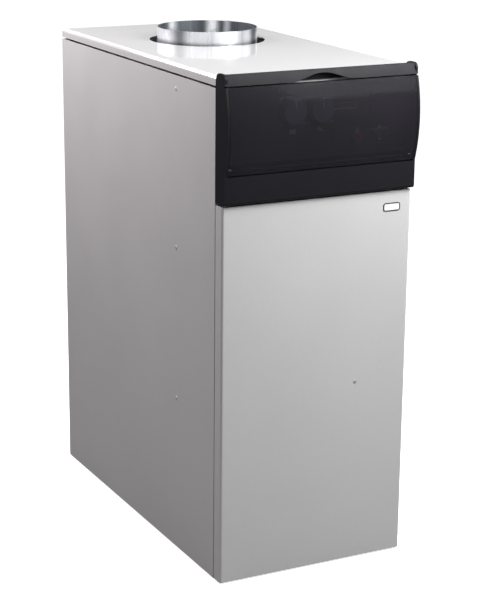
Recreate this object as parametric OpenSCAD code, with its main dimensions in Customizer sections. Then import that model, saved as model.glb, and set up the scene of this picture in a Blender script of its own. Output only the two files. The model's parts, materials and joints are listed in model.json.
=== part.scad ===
// Floor-standing gas boiler: cast-iron block, atmospheric burner, pump and vessel in a steel casing.
// Z is up, the front faces -Y, and the origin is on the floor under the middle of the whole object.

/* [Casing] */
// Width over the side panels
case_w = 350; // [348:1:354]
// Height of the top panel above the floor
case_h = 850; // [850:1:856]
// Depth from the face of the front panel to the back panel
case_d = 675; // [674:1:685]
// Thickness of the casing sheet
sheet = 1.2; // [1:0.1:1.4]
// Height of the front panel's top edge
front_h = 645; // [643:0.5:646]
// Depth of the front panel's folded sides
front_return = 23.5; // [20:0.5:24]
// Height of the top panel's skirt
skirt_h = 15.5; // [14:0.5:16]
// Gap between the skirt and the side panels
skirt_gap = 3.5; // [2:0.5:5]
// Clearance between the floor and the casing panels
floor_gap = 2.5; // [2:0.5:4]

/* [Flue] */
// Outer radius of the flue collar
collar_r = 89.6; // [86:0.2:90]
// Height of the collar's rim above the top panel
collar_rise = 23; // [18:1:30]
// Radius of the hole in the top panel
flue_hole_r = 103.5; // [98:0.5:106]
// Sideways place of the flue
flue_x = 8; // [0:1:10]
// Distance of the flue's centre behind the front panel
flue_y = 432; // [428:1:440]

/* [Control panel] */
// Height of the bottom edge of the control panel
fascia_z = 648.5; // [648:0.5:650]
// Distance that the control panel bulges in front of the front panel
bulge = 19.2; // [18:0.2:20]
// Radius of the bulge seen from the side
bulge_r = 240; // [236:1:250]
// Height of the fullest part of the bulge
bulge_z = 768; // [766:0.5:770]
// Width of each cheek
cheek_w = 4; // [4:0.5:5]
// Height of the flap's lower edge
flap_z0 = 697; // [696:0.2:698]
// Height of the flap's upper edge
flap_z1 = 835.3; // [834.9:0.1:835.5]
// Thickness of the flap
flap_t = 3; // [2.5:0.1:3.2]
// Width of the finger notch above the flap
notch_w = 122; // [100:2:130]
// Outer radius of the two setting knobs
knob_r = 22; // [20:0.5:22]

/* [Connections] */
// Outer radius of the flow and return pipes
water_r = 13.2; // [13:0.1:13.4]
// Outer radius of the gas pipe
gas_r = 10.5; // [10:0.1:10.6]
// Length of the pipe stubs behind the casing
stub_l = 25; // [22:1:30]

/* [Hidden] */
$fn = 64;

eps = 0.02;
half_w = case_w / 2;
in_w = half_w - sheet;
body_y0 = 29;
body_y1 = case_d - sheet - 1.8;
front_y = -(case_d + stub_l + bulge) / 2 + bulge;
side_y0 = 26;
side_z1 = case_h - skirt_h - skirt_gap;
fold = 12;
ledge_z = side_z1 - 14;
floor_sheet = 2;
rail_h = 44;
rail_y = [150, 520];
// Small gap between sheets that touch but are separate pieces
seam = 0.1;
screw_heights = [277, 543, 809];
screw_y = 172;
screw_hole_r = 2.2;
screw_head_r = 3.6;
back_screw_x = 162;
back_screw_z = [40, 400, 785];
screw_dot_x = 77;
screw_dot_z = 323;
badge_x = 138;
badge_z = 618;
badge_w = 32;
badge_h = 14;

// Boiler block
block_w = 236;
block_z0 = 300;
block_z1 = 640;
block_y0 = 125;
section_pitch = 88;
section_gap = 0.4;
section_count = 5;
block_y1 = block_y0 + section_count * section_pitch;
section_core = 7;
hub_r = 34;
nipple_r = 24;
hub_z0 = 352;
hub_z1 = 592;
lug_x = 126;
rod_z0 = 330;
rod_z1 = 612;
rod_r = 5;
nut_w = 7.8;

// Combustion chamber and burner
chamber_w = 244;
chamber_y0 = 126;
chamber_y1 = 564;
chamber_z0 = 44.1;
chamber_sheet = 2;
tube_count = 4;
tube_pitch = 54;
tube_w = 36;
tube_z = 128;
manifold_y = 92;
manifold_z = tube_z - 6;
burner_half = 112;
sight_x = 54;
sight_z = 196;
electrode_x = [-66, -42];
electrode_z = 166;
valve_x = -74;
valve_top = 96;

// Draught hood
hood_sheet = 1.5;
hood_y0 = block_y0 + 4;
hood_y1 = block_y1 + 2;
hood_z0 = block_z1 + 0.3;
hood_z1 = 712;
hood_top = 790;
neck_half = 98;
break_half = 85;
break_edge = 18;

// Pipes
pipe_x = 157;
gas_x = 148;
flow_z = 592;
return_z = 110;
gas_z = 70;
pump_x = 82;
pump_z = 235;
pump_y = 88;
gauge_x = 40;
safety_x = 100;
branch_y = 62;
pipe_r = water_r - 0.2;
pipe_wall = 1.8;
gas_wall = 2;
water_bend = 21;
gas_bend = 16;
nut_r = 21;
cock_y = 147;

// Control panel
fascia_back = 25;
fascia_top = case_h + 5.7;
strip_z0 = flap_z1 + 2.5;
strip_top = case_h + 4.5;
lower_top = flap_z0 - 2.8;
lip_y = -8.4;
lip_r = 5;
fascia_wall = 3;
notch_x = -1;
notch_rise = 12;
notch_back = 4;
flap_half = half_w - cheek_w - 0.7;
hinge_y = -4;
hinge_z = flap_z0 + 8.2;
pin_r = 2.4;
dash_y = 2.5;
dash_t = 3;
dash_z0 = hinge_z + 5.5;
dash_z1 = 832;
dash_half = half_w - cheek_w - 1;
knob_z = 790;
heating_x = -50;
water_x = 0;
led_count = 6;
led_pitch = 6.8;
led_x0 = 29;
led_z = 793;
led_r = 1.6;
switch_x = 111;
switch_z = 739;
reset_x = 70;
reset_z = 739;
reset_r = 6;
box_half = 160;
box_z0 = 700;
gland_x = [-120, -95, -70, 70, 95];
gland_y = 90;
top_front = 7;

module placed() translate([0, front_y, 0]) children();

// A box given by its low corner and its high corner
module block(low, high) translate(low) cube(high - low);

// A flat outline in the YZ plane, thickened from x0 to x1
module along_x(x0, x1) translate([x0, 0, 0]) rotate([90, 0, 90]) linear_extrude(x1 - x0) children();

// Round bars along each axis
module bar_x(x0, x1, y, z, r) translate([x0, y, z]) rotate([0, 90, 0]) cylinder(r = r, h = x1 - x0);
module bar_y(x, y0, y1, z, r) translate([x, y0, z]) rotate([-90, 0, 0]) cylinder(r = r, h = y1 - y0);
module bar_z(x, y, z0, z1, r) translate([x, y, z0]) cylinder(r = r, h = z1 - z0);

function unit(v) = v / norm(v);

// A straight bar from point a to point b
module leg(a, b, r) {
  d = b - a;
  translate(a) rotate([0, acos(d[2] / norm(d)), atan2(d[1], d[0])]) cylinder(r = r, h = norm(d));
}

// A quarter bend at corner p, from direction u into direction v
module elbow(p, u, v, bend, r) {
  c = p - u * bend + v * bend;
  w = cross(-v, u);
  multmatrix([[-v[0], u[0], w[0], c[0]], [-v[1], u[1], w[1], c[1]], [-v[2], u[2], w[2], c[2]], [0, 0, 0, 1]])
    rotate_extrude(angle = 90) translate([bend, 0]) circle(r);
}

// A bar through points that turn square corners, each end made longer by extra
module run(points, r, bend, extra = 0) {
  last = len(points) - 1;
  for (i = [1 : last]) {
    d = unit(points[i] - points[i - 1]);
    leg(points[i - 1] + d * (i == 1 ? -extra : bend), points[i] + d * (i == last ? extra : -bend), r);
  }
  if (last > 1)
    for (i = [1 : last - 1])
      elbow(points[i], unit(points[i] - points[i - 1]), unit(points[i + 1] - points[i]), bend, r);
}

// A square plate with round corners, thickened along Y
module round_plate(x0, x1, y0, y1, z0, z1, r)
  translate([0, y1, 0]) rotate([90, 0, 0]) linear_extrude(y1 - y0) rounded(x0, x1, z0, z1, r);

module rounded(x0, x1, y0, y1, r) {
  translate([x0 + r, y0]) square([x1 - x0 - 2 * r, y1 - y0]);
  translate([x0, y0 + r]) square([x1 - x0, y1 - y0 - 2 * r]);
  for (x = [x0 + r, x1 - r], y = [y0 + r, y1 - r]) translate([x, y]) circle(r);
}

// ---- Casing ----

// Floor frame of separate plates: four walls, four flanges on the floor and two cross rails
module base_frame() placed() color("silver") {
  x = in_w - 1.5;
  t = floor_sheet;
  flange = 25;
  for (s = [0, 1])
    mirror([s, 0, 0]) {
      block([x - t, body_y0, 0], [x, body_y1, rail_h]);
      block([x - flange, body_y0 + flange + seam, 0], [x - t - seam, body_y1 - flange - seam, t]);
    }
  for (y = [body_y0, body_y1 - t]) block([-x + t + seam, y, t + seam], [x - t - seam, y + t, rail_h]);
  for (y = [body_y0, body_y1 - flange]) block([-x + t + seam, y, 0], [x - t - seam, y + flange, t]);
  // Angle rails carry the boiler block
  for (y = rail_y) {
    block([-x + t + seam, y, t + seam], [x - t - seam, y + t, rail_h - t - seam]);
    block([-x + t + seam, y, rail_h - t], [x - t - seam, y + 24, rail_h]);
  }
}

// One side panel on the +X side: a plate with a folded front edge and a ledge below its top edge
module side_panel() {
  block([in_w, side_y0, floor_gap], [half_w, case_d - sheet - 0.2, side_z1]);
  block([half_w - fold, side_y0, floor_gap], [in_w + eps, side_y0 + sheet, side_z1]);
  block([half_w - fold, side_y0, ledge_z - sheet], [in_w + eps, case_d - sheet - 0.2, ledge_z]);
}

module screwed_side_panel() difference() {
  side_panel();
  for (z = screw_heights) bar_x(in_w - 5, half_w + 5, screw_y, z, screw_hole_r);
}

module left_side_panel() placed() color("gainsboro") mirror([1, 0, 0]) screwed_side_panel();
module right_side_panel() placed() color("gainsboro") screwed_side_panel();

module back_panel() placed() color("silver") {
  y0 = case_d - sheet;
  difference() {
    block([-half_w, y0, floor_gap], [half_w, case_d, side_z1]);
    bar_y(pipe_x, y0 - 5, case_d + 5, flow_z, water_r + 2);
    bar_y(pipe_x, y0 - 5, case_d + 5, return_z, water_r + 2);
    bar_y(-gas_x, y0 - 5, case_d + 5, gas_z, gas_r + 2);
    // Louvres that feed the draught hood
    for (row = [0 : 5]) round_plate(-90, 90, y0 - 5, case_d + 5, 668 + 16 * row, 674 + 16 * row, 2.9);
    // Round cable entries
    for (x = [-135, -115]) bar_y(x, y0 - 5, case_d + 5, 780, 8);
    for (x = [-1, 1], z = back_screw_z) bar_y(x * back_screw_x, y0 - 5, case_d + 5, z, screw_hole_r);
  }
  // Stepped upstand that carries the back of the top panel
  step = 8;
  block([-half_w + 14, y0 - step, side_z1 - 25], [half_w - 14, y0 + eps, side_z1 - 25 + sheet]);
  block([-half_w + 14, y0 - step, side_z1 - 25], [half_w - 14, y0 - step + sheet, case_h - sheet]);
}

// The plan of the top panel with a notch for each cheek
module top_plan(inset) difference() {
  translate([-half_w + inset, top_front + inset])
    square([case_w - 2 * inset, case_d - top_front - 2 * inset]);
  notch = cheek_w + 1 + inset;
  for (s = [-1, 1])
    translate([s * half_w - notch, top_front - 1]) square([2 * notch, fascia_back - top_front + 2]);
}

// A slab with its long top edges rolled over at radius r
module rolled(x0, x1, y0, y1, z0, z1, r) intersection() {
  translate([0, y1, 0]) rotate([90, 0, 0]) linear_extrude(y1 - y0) rolled_end(x0, x1, z0, z1, r);
  along_x(x0, x1) rolled_end(y0, y1, z0, z1, r);
}

module rolled_end(a0, a1, z0, z1, r) {
  translate([a0, z0]) square([a1 - a0, z1 - r - z0]);
  translate([a0 + r, z0]) square([a1 - a0 - 2 * r, z1 - z0]);
  for (a = [a0 + r, a1 - r]) translate([a, z1 - r]) circle(r);
}

module top_panel() placed() color("white") {
  z0 = case_h - skirt_h;
  roll = 6;
  difference() {
    intersection() {
      rolled(-half_w, half_w, top_front, case_d, z0, case_h, roll);
      translate([0, 0, z0 - 1]) linear_extrude(skirt_h + 2) top_plan(0);
    }
    intersection() {
      rolled(-in_w, in_w, top_front + sheet, case_d - sheet, z0 - 1, case_h - sheet, roll - sheet);
      translate([0, 0, z0 - 1]) linear_extrude(skirt_h + 2) top_plan(sheet);
    }
    bar_z(flue_x, flue_y, z0 - 1, case_h + 1, flue_hole_r);
  }
}

module front_panel() placed() color("gainsboro") {
  corner = 4;
  lip = 14;
  z0 = floor_gap + 0.5;
  difference() {
    translate([0, 0, z0]) linear_extrude(front_h - z0) tray_plan(0, corner, front_return);
    translate([0, 0, z0 + sheet]) linear_extrude(front_h - z0 - 2 * sheet)
      tray_plan(sheet, corner - sheet, front_return + 5);
    // The top and bottom edges are folded in by a lip
    block([-half_w + sheet, lip, z0 - 1], [half_w - sheet, front_return + 5, z0 + sheet + eps]);
    block([-half_w + sheet, lip, front_h - sheet - eps], [half_w - sheet, front_return + 5, front_h + 1]);
    bar_y(screw_dot_x, -5, 10, screw_dot_z, screw_hole_r);
  }
}

module tray_plan(inset, r, depth) {
  translate([-half_w + inset, inset + r]) square([case_w - 2 * inset, depth - inset - r]);
  translate([-half_w + inset + r, inset]) square([case_w - 2 * (inset + r), depth - inset]);
  for (s = [-1, 1]) translate([s * (half_w - inset - r), inset + r]) circle(r);
}

// Spring clips fixed inside the front panel's folded sides, and a catch at each top corner
module front_panel_fixings() placed() color("dimgray") {
  clip_z = [170, 403];
  clip_w = 2.2;
  for (s = [0, 1])
    mirror([s, 0, 0]) {
      for (z = clip_z) {
        block([in_w - clip_w, 10, z - 10], [in_w, side_y0 - 0.3, z + 10]);
        block([in_w - 6, 10, z - 6], [in_w - clip_w - seam, 12, z + 6]);
      }
      block([half_w - 13, 3, front_h], [half_w - 6, 12, front_h + 1.8]);
    }
  // Small screw through the front
  bar_y(screw_dot_x, -0.8, 0, screw_dot_z, 2.8);
  bar_y(screw_dot_x, -eps, 2.5, screw_dot_z, screw_hole_r - 0.2);
}

module badge_plate() placed() color("dimgray") {
  w = badge_w / 2;
  h = badge_h / 2;
  round_plate(badge_x - w, badge_x + w, -1, 0, badge_z - h, badge_z + h, 4);
}

module casing_screws() placed() color("silver") {
  for (s = [0, 1], z = screw_heights)
    mirror([s, 0, 0]) {
      bar_x(half_w, half_w + 0.9, screw_y, z, screw_head_r);
      bar_x(half_w - 4.5, half_w + eps, screw_y, z, screw_hole_r - 0.2);
    }
  for (x = [-1, 1], z = back_screw_z) {
    bar_y(x * back_screw_x, case_d, case_d + 2, z, screw_head_r + 1);
    bar_y(x * back_screw_x, case_d - 2, case_d + eps, z, screw_hole_r - 0.2);
  }
}

// Rail behind the control panel that joins the side panels and carries the top panel
module front_crossbar() placed() color("silver") {
  t = 1.5;
  z1 = case_h - sheet;
  half = half_w - 7;
  block([-half, body_y0, side_z1], [half, body_y0 + t, z1]);
  block([-half, body_y0, z1 - t], [half, body_y0 + 20, z1]);
  // Feet that stand on the side panels' ledges
  for (s = [0, 1])
    mirror([s, 0, 0]) block([half_w - fold, body_y0, ledge_z], [half, body_y0 + t, side_z1 + eps]);
}

// Between the upper and lower tie rods, clear of the pipes on both sides
module insulation_pads() placed() color("lightgray") {
  x0 = block_w / 2 + 0.5;
  edge = 12;
  for (s = [0, 1])
    mirror([s, 0, 0]) block([x0, block_y0 + 24, rod_z0 + edge], [x0 + 19.5, block_y1 - 24, rod_z1 - edge]);
}

// ---- Control panel ----

// The bulged outline seen from the side, moved in from the outer face by inset
module bulge_side(inset, z0, z1, back) intersection() {
  translate([bulge_r - bulge, bulge_z]) circle(bulge_r - inset, $fn = 200);
  translate([-bulge - 5, z0]) square([back + bulge + 5, z1 - z0]);
}

// The upright lower part of the control panel, up to height top
module lower_lip(inset, back, top) {
  z0 = fascia_z + inset;
  translate([lip_y + inset, z0 + lip_r - inset]) square([back - lip_y - inset, top - z0 - lip_r + inset]);
  translate([lip_y + lip_r, z0]) square([back - lip_y - lip_r, 20]);
  translate([lip_y + lip_r, z0 + lip_r - inset]) circle(lip_r - inset);
}

// The finger notch from y0 to y1: an arch that runs out level at both ends, raised by extra
module notch(y0, y1, extra) {
  half = notch_w / 2;
  dip = 0.2;
  arch = [for (x = [-half : 2 : half]) [x, notch_rise / 2 * (1 + cos(180 * x / half)) + extra - dip]];
  translate([notch_x, y1, strip_z0]) rotate([90, 0, 0]) linear_extrude(y1 - y0)
    polygon(concat([[-half, -1]], arch, [[half, -1]]));
}

// The side outline of a cheek, with a rounded ear that stands above the top panel
module cheek_side() {
  ear_z = fascia_top - 12;
  front = -7.8;
  front_r = 9;
  back_r = 12;
  bulge_side(0, fascia_z + 15, ear_z, fascia_back);
  lower_lip(0, fascia_back, flap_z0);
  translate([front, ear_z - 5]) square([fascia_back - front, 5 - eps]);
  translate([front, ear_z - 5]) square([20, 5 + 12 - front_r]);
  translate([front + front_r, ear_z - 5]) square([fascia_back - back_r - front - front_r, 17]);
  translate([front + front_r, fascia_top - front_r]) circle(front_r);
  translate([fascia_back - back_r, fascia_top - back_r]) circle(back_r);
}

module fascia_frame() placed() color("#2b2b2e") {
  groove_y = -5;
  inner = half_w - cheek_w / 2;
  difference() {
    union() {
      for (s = [0, 1]) mirror([s, 0, 0]) along_x(half_w - cheek_w, half_w) cheek_side();
      // Top strip with its upper lip
      along_x(-inner, inner) difference() {
        bulge_side(0, strip_z0, strip_top, top_front - 1);
        bulge_side(fascia_wall, strip_z0 - 1, strip_top - fascia_wall, top_front);
      }
      // Plastic that backs the finger notch
      intersection() {
        along_x(-inner, inner) bulge_side(0, strip_z0, strip_top, top_front - 1);
        notch(-bulge - 5, top_front, 2);
      }
      // Lower strip, open at the back
      along_x(-inner, inner) difference() {
        lower_lip(0, fascia_back - 2, lower_top);
        lower_lip(fascia_wall, fascia_back, lower_top - fascia_wall);
      }
    }
    // Finger notch above the flap
    notch(-bulge - 5, notch_back, 0);
    // The groove above the flap runs out through both cheeks
    block([-half_w - 1, -bulge - 5, flap_z1], [half_w + 1, groove_y, strip_z0]);
    // Blind bores for the flap's pins
    bar_x(-half_w + sheet, half_w - sheet, hinge_y, hinge_z, pin_r + 0.15);
  }
}

module dashboard() placed() color("#333338") {
  y0 = dash_y - 1;
  y1 = dash_y + dash_t + 1;
  difference() {
    round_plate(-dash_half, dash_half, dash_y, dash_y + dash_t, dash_z0, dash_z1, 3);
    for (x = [heating_x, water_x]) bar_y(x, y0, y1, knob_z, 4.2);
    round_plate(switch_x - 15, switch_x + 15, y0, y1, switch_z - 11, switch_z + 11, 1);
    bar_y(reset_x, y0, y1, reset_z, reset_r + 0.4);
    for (i = [0 : led_count - 1]) bar_y(led_x0 + led_pitch * i, y0, y1, led_z, led_r);
  }
  // Raised ring round each knob
  for (x = [heating_x, water_x])
    difference() {
      bar_y(x, dash_y - 1.2, dash_y + eps, knob_z, knob_r + 2.8);
      bar_y(x, dash_y - 2, dash_y + 1, knob_z, knob_r + 1.4);
    }
  // Folded edges that join the control box
  for (z = [dash_z0 + 2, dash_z1 - 4.5])
    block([-dash_half + 2, dash_y + dash_t - eps, z], [dash_half - 2, dash_y + dash_t + 6, z + 2]);
}

module flap_door() placed() color("#26262a", 0.92) {
  knuckle_w = 9;
  knuckle_r = 5.8;
  difference() {
    union() {
      along_x(-flap_half, flap_half) difference() {
        bulge_side(0, flap_z0, flap_z1, 30);
        bulge_side(flap_t, flap_z0 - 1, flap_z1 + 1, 31);
      }
      // Knuckles at the lower corners
      for (s = [0, 1])
        mirror([s, 0, 0]) bar_x(flap_half - knuckle_w, flap_half, hinge_y, hinge_z, knuckle_r);
    }
    bar_x(-half_w, half_w, hinge_y, hinge_z, pin_r);
  }
}

module flap_hinge_pins() placed() color("silver")
  for (s = [0, 1]) mirror([s, 0, 0]) bar_x(flap_half - 8, half_w - sheet - 0.3, hinge_y, hinge_z, pin_r);

// A ribbed knob with a pointer, centred on x
module knob(x) {
  front = dash_y - 11;
  rim = dash_y - 2.5;
  ribs = 24;
  difference() {
    union() {
      bar_y(x, rim, dash_y - 0.3, knob_z, knob_r);
      bar_y(x, front, rim, knob_z, knob_r - 2);
      for (i = [0 : ribs - 1])
        translate([x, 0, knob_z]) rotate([0, 360 / ribs * i, 0])
          bar_y(knob_r - 2, front + 1.5, rim - 0.1, 0, 1);
      bar_y(x, dash_y - 1, dash_y + dash_t + 5, knob_z, 4);
    }
    block([x - 0.9, front - 1, knob_z + 4], [x + 0.9, front + 0.8, knob_z + knob_r]);
  }
}
module heating_knob() placed() color("#3c3c42") knob(heating_x);
module hot_water_knob() placed() color("#3c3c42") knob(water_x);

module power_switch() placed() color("#4a4a50") {
  // A rocker that pivots on a bar along X
  w = 13.5;
  h = 9.6;
  intersection() {
    round_plate(switch_x - w, switch_x + w, dash_y - 4, dash_y + 12, switch_z - h, switch_z + h, 1.5);
    union() {
      block([switch_x - 20, dash_y + 1, switch_z - 20], [switch_x + 20, dash_y + 12, switch_z + 20]);
      translate([0, dash_y + 1 + eps, switch_z]) rotate([9, 0, 0])
        block([switch_x - 20, -3.4, -20], [switch_x + 20, 2, 20]);
    }
    bar_x(switch_x - 20, switch_x + 20, dash_y + 2, switch_z, 10.2);
  }
}

module reset_button() placed() color("#8a2f2a") {
  bar_y(reset_x, dash_y - 3, dash_y + 8, reset_z, reset_r);
}

module indicator_lights() placed() color("#5a1f1c")
  for (i = [0 : led_count - 1]) {
    x = led_x0 + led_pitch * i;
    bar_y(x, dash_y - 0.6, dash_y + dash_t + 3, led_z, led_r - 0.1);
  }

module timer_blank_cover() placed() color("#2e2e33") {
  round_plate(92, 134, dash_y - 1.6, dash_y, 773, 811, 3);
}

module control_box() placed() color("#55555c") {
  y0 = dash_y + dash_t + 6.2;
  y1 = 112;
  z1 = side_z1 - sheet - 2;
  wall = 2.5;
  difference() {
    block([-box_half, y0, box_z0], [box_half, y1, z1]);
    block([-box_half + wall, y0 - 1, box_z0 + wall], [box_half - wall, y1 - wall, z1 - wall]);
    for (x = gland_x) bar_z(x, gland_y, box_z0 - 1, box_z0 + wall + 1, 7);
  }
}

module circuit_board() placed() color("seagreen") {
  y = 104;
  block([-110, y, 715], [110, y + 1.6, 812]);
  // Transformer, relays and terminal strip
  block([-100, y - 42, 720], [-55, y, 760]);
  for (i = [0 : 3]) block([-40 + 26 * i, y - 16, 725], [-22 + 26 * i, y, 753]);
  for (i = [0 : 8]) block([-96 + 22 * i, y - 12, 792], [-78 + 22 * i, y, 806]);
}

module cable_glands() placed() color("#222222")
  for (x = gland_x)
    difference() {
      union() {
        bar_z(x, gland_y, box_z0 - 8, box_z0 + 6, 6.8);
        bar_z(x, gland_y, box_z0 - 9, box_z0 - 0.2, 9.5, $fn = 6);
      }
      bar_z(x, gland_y, box_z0 - 20, box_z0 + 10, 4);
    }

// ---- Boiler block ----

// One casting: a rim at each side, a thinner core and two round water ways
module section(y0, y1) {
  rim = 16;
  half = block_w / 2;
  difference() {
    union() {
      for (s = [0, 1]) mirror([s, 0, 0]) round_plate(half - rim, half, y0, y1, block_z0, block_z1, 6);
      round_plate(-half + 2, half - 2, y0 + section_core, y1 - section_core, block_z0, block_z1 - 4, 8);
      for (z = [hub_z0, hub_z1]) bar_y(0, y0, y1, z, hub_r);
    }
    for (z = [hub_z0, hub_z1]) bar_y(0, y0 - 1, y1 + 1, z, nipple_r);
    // Water space
    block([-half + rim + 4, y0 + 21, block_z0 + 10], [half - rim - 4, y1 - 12, block_z1 - 12]);
    // Flue ways between the ribs, open below and above
    for (x = [-88, -66, -44, 44, 66, 88])
      block([x - 3, y0 + section_core - 1, block_z0 - 1], [x + 3, y0 + section_core + 8, block_z1 + 1]);
  }
}

module lugs(y0, y1) difference() {
  for (s = [0, 1], z = [rod_z0, rod_z1])
    mirror([s, 0, 0]) block([block_w / 2 - 8, y0, z - 12], [lug_x + 11, y1, z + 12]);
  for (s = [-1, 1], z = [rod_z0, rod_z1]) bar_y(s * lug_x, y0 - 1, y1 + 1, z, rod_r + 0.5);
}

function section_y(i) = block_y0 + section_pitch * i;

module front_section() placed() color("#5d5f61") {
  y0 = section_y(0);
  y1 = section_y(1) - section_gap;
  section(y0, y1);
  lugs(y0 + 4, y0 + 18);
  // Cast cover plate closes the front, with a threaded port over each water way
  difference() {
    union() {
      round_plate(-block_w / 2 + 10, block_w / 2 - 10, y0 - 3, y0 + 8, block_z0 + 14, block_z1 - 14, 10);
      for (z = [hub_z0, hub_z1]) bar_y(0, y0 - 12, y0 + 2, z, 22);
      for (i = [-3 : 3])
        if (i != 0) block([i * 28 - 2, y0 - 7, block_z0 + 110], [i * 28 + 2, y0 - 2, block_z1 - 100]);
    }
    for (z = [hub_z0, hub_z1]) bar_y(0, y0 - 20, y0 + 20, z, water_r);
  }
}

module middle_section(i) color("#5d5f61") section(section_y(i), section_y(i + 1) - section_gap);
module middle_section_1() placed() middle_section(1);
module middle_section_2() placed() middle_section(2);
module middle_section_3() placed() middle_section(3);

module rear_section() placed() color("#5d5f61") {
  y0 = section_y(4);
  y1 = section_y(5) - section_gap;
  section(y0, y1);
  lugs(y1 - 18, y1 - 4);
  for (z = [hub_z0, hub_z1]) bar_y(0, y1 - 10, y1, z, nipple_r + 1);
}

module section_nipples() placed() color("gray")
  for (i = [1 : 4], z = [hub_z0, hub_z1])
    difference() {
      bar_y(0, section_y(i) - 16, section_y(i) + 16, z, nipple_r - 0.05);
      bar_y(0, section_y(i) - 17, section_y(i) + 17, z, nipple_r - 4);
    }

module tie_rods() placed() color("silver")
  for (s = [-1, 1], z = [rod_z0, rod_z1]) {
    y0 = section_y(0) + 4;
    y1 = section_y(5) - section_gap - 4;
    bar_y(s * lug_x, y0 - 16, y1 + 14, z, rod_r);
    for (y = [y0 - 8.1, y1 + 0.1]) bar_y(s * lug_x, y, y + 8, z, nut_w, $fn = 6);
  }

// Sheet-steel box round the flames, open below for air and above to the castings
module combustion_chamber() placed() color("#8f8f8c") {
  half = chamber_w / 2;
  difference() {
    block([-half, chamber_y0, chamber_z0], [half, chamber_y1, block_z0 - 0.2]);
    block([-half + chamber_sheet, chamber_y0 + chamber_sheet, chamber_z0 - 1],
          [half - chamber_sheet, chamber_y1 - chamber_sheet, block_z0 + 1]);
    block([-burner_half, chamber_y0 - 1, chamber_z0 + 20], [burner_half, chamber_y0 + 5, chamber_z0 + 175]);
  }
  // Ledges that carry the burner tubes at the back
  block([-half + 1, chamber_y1 - 22, tube_z - 32], [half - 1, chamber_y1 - 1, tube_z - 30]);
}

// Sheets that gather the flue gas over the castings, with a draught break open to the back
module draught_hood() placed() color("#b9bbbd") {
  half = block_w / 2;
  t = hood_sheet;
  z1 = hood_z1 - t - seam;
  neck = [flue_x - neck_half, flue_x + neck_half, flue_y - neck_half, flue_y + neck_half];
  for (s = [0, 1]) mirror([s, 0, 0]) block([half - t, hood_y0, hood_z0], [half, hood_y1, z1]);
  block([-half + t + seam, hood_y0, hood_z0], [half - t - seam, hood_y0 + t, z1]);
  // Back sheet in four strips round the draught break
  for (s = [0, 1])
    mirror([s, 0, 0]) block([break_half, hood_y1 - t, hood_z0], [half - t - seam, hood_y1, z1]);
  for (z = [hood_z0, z1 - break_edge])
    block([-break_half + seam, hood_y1 - t, z], [break_half - seam, hood_y1, z + break_edge]);
  // Top sheet in four strips round the neck
  block([-half, hood_y0, hood_z1 - t], [half, neck[2], hood_z1]);
  block([-half, neck[3], hood_z1 - t], [half, hood_y1, hood_z1]);
  block([-half, neck[2] + seam, hood_z1 - t], [neck[0], neck[3] - seam, hood_z1]);
  block([neck[1], neck[2] + seam, hood_z1 - t], [half, neck[3] - seam, hood_z1]);
}

// Square neck of the hood: four sheets and a top plate that holds the collar
module hood_neck() placed() color("#b9bbbd")
  translate([flue_x, flue_y, 0]) {
    t = hood_sheet;
    z0 = hood_z1 - t;
    z1 = hood_top - t - seam;
    side = neck_half - seam;
    for (s = [0, 1]) {
      mirror([s, 0, 0]) block([side - t, -side, z0], [side, side, z1]);
      mirror([0, s, 0]) block([-side + t + seam, side - t, z0], [side - t - seam, side, z1]);
    }
    difference() {
      block([-side, -side, hood_top - t], [side, side, hood_top]);
      bar_z(0, 0, hood_top - 10, hood_top + 5, collar_r + 0.1);
    }
  }

module flue_collar() placed() color("lightgray") {
  z0 = 770;
  z1 = case_h + collar_rise;
  bead = 2.6;
  translate([flue_x, flue_y, 0])
    difference() {
      union() {
        translate([0, 0, z0]) cylinder(r = collar_r, h = z1 - z0, $fn = 128);
        translate([0, 0, hood_top + 0.2]) cylinder(r = collar_r + bead, h = 2.4, $fn = 128);
      }
      translate([0, 0, z0 - 1]) cylinder(r = collar_r - sheet, h = z1 - z0 + 2, $fn = 128);
    }
}

// Clipped on the hood beside the neck, with its sensing button on the sheet
module draught_thermostat() placed() color("#d8d8d0")
  translate([-86, 300, hood_z1]) {
    bar_z(0, 0, 0.1, 4, 9);
    bar_z(0, 0, 4 - eps, 16, 7);
    for (s = [-1, 1]) block([s * 4 - 0.4, -3, 16 - eps], [s * 4 + 0.4, 3, 24]);
  }

// ---- Burner ----

module burner_tube(i) {
  x = (i - (tube_count + 1) / 2) * tube_pitch;
  y0 = chamber_y0 + 8;
  y1 = chamber_y1 - 8;
  slots = 24;
  color("#9a9c9a")
    difference() {
      union() {
        // Flame tube with a flat-sided round top
        translate([0, y1, 0]) rotate([90, 0, 0]) linear_extrude(y1 - y0 - 10) {
          translate([x, tube_z]) circle(tube_w / 2);
          translate([x - tube_w / 2, tube_z - 22]) square([tube_w, 22]);
          translate([x - 10, tube_z - 30]) square([20, 12]);
        }
        // Venturi mouth
        bar_y(x, chamber_y0 - 14, y0 + 12, manifold_z, 11);
        bar_y(x, chamber_y0 - 18, chamber_y0 - 13, manifold_z, 15);
      }
      bar_y(x, chamber_y0 - 20, y0 + 14, manifold_z, 9);
      for (k = [0 : slots - 1])
        block([x - 12, y0 + 24 + k * 16, tube_z + 8], [x + 12, y0 + 27 + k * 16, tube_z + 30]);
    }
}
module burner_tube_1() placed() burner_tube(1);
module burner_tube_2() placed() burner_tube(2);
module burner_tube_3() placed() burner_tube(3);
module burner_tube_4() placed() burner_tube(4);

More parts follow.
